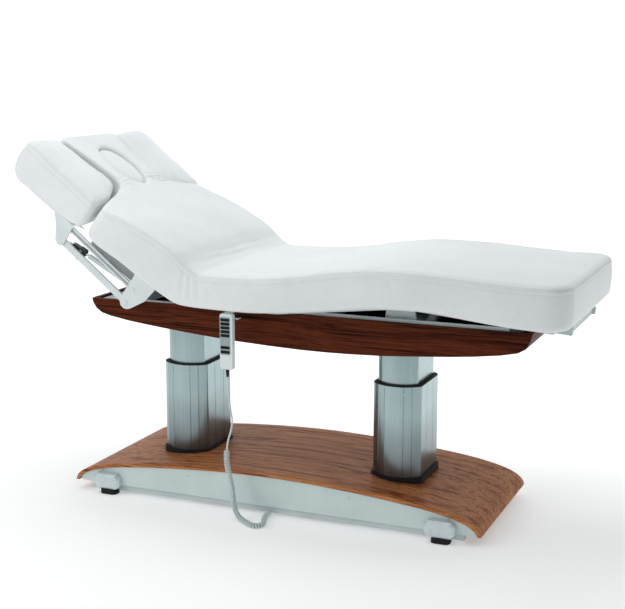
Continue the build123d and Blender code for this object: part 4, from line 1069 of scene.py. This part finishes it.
plug, info_plug = soft_box("face_plug_cushion", plug_plan, plug_map, plug_tree, plug_nrm, roll=0.013, roll_w=0.024, crown=0.011, crown_w=0.07,
                           bulge=0.0006, low_r=0.006, wrinkle=plug_wrinkle, material=M["upholstery"], lift=0.0)

# ---------------------------------------------------------------- small hard pieces
A315 = radians(31.5)


def prism(name, poly, y0, y1, material, edge=0.0008):
    """A flat plate: (x, z) outline in row-frame metres, from y0 to y1, with softened edges."""
    n = len(poly)
    v = [(x, y0, z) for x, z in poly] + [(x, y1, z) for x, z in poly]
    f = [tuple(range(n)), tuple(range(2 * n - 1, n - 1, -1))] + [(k, k + n, (k + 1) % n + n, (k + 1) % n) for k in range(n)]
    o = mesh_object(name, v, f, False, material)
    bm = bmesh.new()
    bm.from_mesh(o.data)
    bmesh.ops.recalc_face_normals(bm, faces=bm.faces[:])
    if edge:
        sharp = [e for e in bm.edges if e.calc_face_angle(0) > radians(25)]
        bmesh.ops.bevel(bm, geom=sharp, offset=edge, segments=2, profile=0.5, affect="EDGES", clamp_overlap=True)
    bm.to_mesh(o.data)
    bm.free()
    return o


def rounded_rect(cx, cz, w, h, r, k=5):
    out = []
    for sx, sz, a0 in ((1, 1, 0), (-1, 1, pi / 2), (-1, -1, pi), (1, -1, 3 * pi / 2)):
        out += [(cx + sx * (w / 2 - r) + r * cos(a0 + pi / 2 * i / k), cz + sz * (h / 2 - r) + r * sin(a0 + pi / 2 * i / k)) for i in range(k + 1)]
    return out


def cut(obj, *cutters):
    """Subtract closed meshes from a closed mesh, for good."""
    for c in cutters:
        mod = obj.modifiers.new("cut", "BOOLEAN")
        mod.operation, mod.solver, mod.object = "DIFFERENCE", "EXACT", c
    bpy.context.view_layer.update()
    me = bpy.data.meshes.new_from_object(obj.evaluated_get(bpy.context.evaluated_depsgraph_get()))
    obj.modifiers.clear()
    old = obj.data
    obj.data = me
    bpy.data.meshes.remove(old)
    for c in cutters:
        bpy.data.objects.remove(c)


# side plates along the upper part of the back frame, in drive grey: darker than the frame steel, partly painted shade
# for the shadow they sit in under the mattress
for sg, side_name in ((-1, "near"), (1, "far")):
    pts_ = [un(u, n_) for u, n_ in ((1.058, 0.3425), (1.058, 0.394), (1.041, 0.392), (1.0385, 0.3795), (0.862, 0.381), (0.850, 0.374), (0.853, 0.335),
                                               (0.930, 0.3345), (1.000, 0.338))]
    y0, y1 = sorted((sg * 0.2845, sg * 0.2885))
    o = prism("back_side_plate_" + side_name, pts_, y0, y1, M["drive_grey"])
    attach(o, "back_section")

# release heads on the gas springs' rods
B1x, B1z, T2x, T2z = -0.483 + BX, 0.748, -0.766 + BX, 0.903
gl = sqrt((T2x - B1x) ** 2 + (T2z - B1z) ** 2)
gd = ((T2x - B1x) / gl, (T2z - B1z) / gl)
gn = (-gd[1], gd[0])


def gas_pts(pairs):
    return [(B1x + gd[0] * t + gn[0] * w, B1z + gd[1] * t + gn[1] * w) for t, w in pairs]


for sg, side_name in ((-1, "near"), (1, "far")):
    y0, y1 = sorted((sg * 0.2660, sg * 0.2848))
    head = prism("release_head_" + side_name, gas_pts([(0.2265, -0.009), (0.231, -0.0135), (0.252, -0.0145), (0.262, -0.0120), (0.281, -0.0120), (0.286, -0.008),
                                                      (0.286, 0.008), (0.281, 0.0125), (0.266, 0.0125), (0.262, 0.0165), (0.240, 0.0165), (0.236, 0.0125),
                                                      (0.2265, 0.010)]), y0, y1, M["gas_black"], 0.0022)
    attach(head, "gas_rod_" + side_name)
    y0, y1 = sorted((sg * 0.2846, sg * 0.2853))
    knob = prism("release_pin_" + side_name, gas_pts([(0.249 + 0.0065 * cos(2 * pi * k / 20), 0.002 + 0.0065 * sin(2 * pi * k / 20)) for k in range(20)]), y0, y1,
                 M["zinc_steel"], 0.0005)
    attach(knob, "gas_rod_" + side_name)

# sunk panel round the handset's keys, with an opening for each key
HXC = -0.101 - 0.003 + BX
panel = prism("key_panel", rounded_rect(HXC, 0.6325, 0.0376, 0.1270, 0.006), -0.36375, -0.3622, M["inset_grey"], 0.0003)
holes = [prism("hole", rounded_rect(HXC, z, 0.0332, 0.0104, 0.0024, 4), -0.366, -0.360, None, 0.0) for z in (0.686, 0.673, 0.660, 0.647, 0.634, 0.594, 0.579)]
cut(panel, *holes)
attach(panel, "carriage")

# round screw heads on the tray's head plate
for k, (x, y) in enumerate(((-0.643, -0.150), (-0.643, 0.150), (-0.605, 0.0))):
    n = 20
    v = [(x + BX + r * cos(2 * pi * i / n), y + r * sin(2 * pi * i / n), z) for r, z in ((0.0055, 0.6920), (0.0055, 0.6938), (0.0040, 0.6950), (0.0022, 0.6950), (0.0022, 0.6934))
         for i in range(n)]
    f = [(r * n + i, r * n + (i + 1) % n, (r + 1) * n + (i + 1) % n, (r + 1) * n + i) for r in range(4) for i in range(n)]
    f += [tuple(range(n - 1, -1, -1)), tuple(range(4 * n, 5 * n))]
    o = mesh_object("tray_plate_screw_%d" % (k + 1), v, f, False, M["zinc_steel"])
    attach(o, "carriage")

# softened edges on the plates and panels made from sheet and board
for name in ("tray_sides", "base_sides", "base_cover", "arm_gussets", "foot_blocks", "handset_hook", "arm_carrier_near", "arm_carrier_far",
             "arm_link_lower_near", "arm_link_lower_far", "arm_link_upper_near", "arm_link_upper_far", "head_bracket", "main_frame"):
    o = NODES[name]
    w = o.modifiers.new("weld", "WELD")
    w.merge_threshold = 0.00002
    b = o.modifiers.new("edges", "BEVEL")
    b.width, b.segments, b.limit_method, b.angle_limit = 0.0009, 2, "ANGLE", radians(38)
    b.use_clamp_overlap = True
    b.harden_normals = False

# ---------------------------------------------------------------- soft pieces: the mattress pieces baked in place, the arm pads and the plug on their bodies
for o in (piece_a, thread_a):
    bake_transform(o)
for o in (piece_b, thread_b):
    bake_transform(o)
for o in (piece_c, thread_c):
    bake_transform(o)
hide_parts("leg_cushion", "seat_cushion")
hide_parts("back_cushion")
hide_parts("head_cushion")
for side_name in ("near", "far"):
    o, info = pads[side_name]
    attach(o, "arm_rest_" + side_name)
    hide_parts("arm_pad_" + side_name)
    t = stitches("stitches_arm_" + side_name, wall_runs(o, info), material=M["thread"])
    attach(t, "arm_rest_" + side_name)
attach(plug, "face_plug")
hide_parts("face_plug")

# ---------------------------------------------------------------- stage and light
floor_mat = Mat("floor_paper")
fl = floor_mat.noise(floor_mat.mapping((1, 1, 1)), 2.2, 3, 0.5)
floor_mat.base(floor_mat.ramp(fl, [(0.3, (0.885, 0.885, 0.885)), (0.7, (0.905, 0.905, 0.905))]))
floor_mat.rough(floor_mat.ramp(fl, [(0.3, 0.75), (0.7, 0.85)]))
floor_mat.set(Specular_IOR_Level=0.2, Emission_Color=(1.0, 1.0, 1.0))
way = floor_mat.t.nodes.new("ShaderNodeSeparateXYZ")
floor_mat.link(floor_mat.co, way.inputs[0])
glow = floor_mat.t.nodes.new("ShaderNodeMapRange")
glow.interpolation_type = "SMOOTHSTEP"
for k, v in (("From Min", -0.6), ("From Max", 2.2), ("To Min", 0.27), ("To Max", 0.56)):
    glow.inputs[k].default_value = v
floor_mat.link(way.outputs["Y"], glow.inputs["Value"])
floor_mat.link(glow.outputs["Result"], floor_mat.b.inputs["Emission Strength"])
pts = [(-3.5, 0.0)] + [(4.2 + 2.0 * sin(pi / 2 * k / 16), 2.0 - 2.0 * cos(pi / 2 * k / 16)) for k in range(17)] + [(6.2, 6.0)]
fv, ff = [], []
for x in (-9.0, 9.0):
    for y, z in pts:
        fv.append((x, y - 3.0 if y < 0 else y, z))
for k in range(len(pts) - 1):
    ff.append((k, k + 1, len(pts) + k + 1, len(pts) + k))
backdrop = mesh_object("backdrop", fv, ff, True, floor_mat.m)

world = bpy.data.worlds.new("studio")
scene.world = world
world.use_nodes = True
bg = world.node_tree.nodes["Background"]
bg.inputs[0].default_value = (0.95, 0.985, 1.0, 1.0)
bg.inputs[1].default_value = 0.42


def area(name, loc, target, size, power, color=(1, 1, 1)):
    d = bpy.data.lights.new(name, "AREA")
    d.shape = "RECTANGLE"
    d.size, d.size_y = size
    d.energy = power
    d.color = color
    o = link(bpy.data.objects.new(name, d))
    o.location = loc
    o.rotation_euler = (Vector(target) - Vector(loc)).to_track_quat("-Z", "Y").to_euler()
    return o


area("top_box", (-0.6, 0.1, 3.2), (-0.1, 0, 0.5), (3.0, 2.4), 38, (0.98, 0.99, 1.0))
area("key_left", (-1.9, -2.3, 1.9), (-0.4, 0, 0.8), (1.3, 1.3), 20, (1.0, 0.99, 0.98))
area("fill_right", (3.2, -2.2, 1.8), (0.2, 0, 0.6), (2.0, 2.0), 3, (0.97, 0.99, 1.0))
scene.view_settings.view_transform = "Standard"
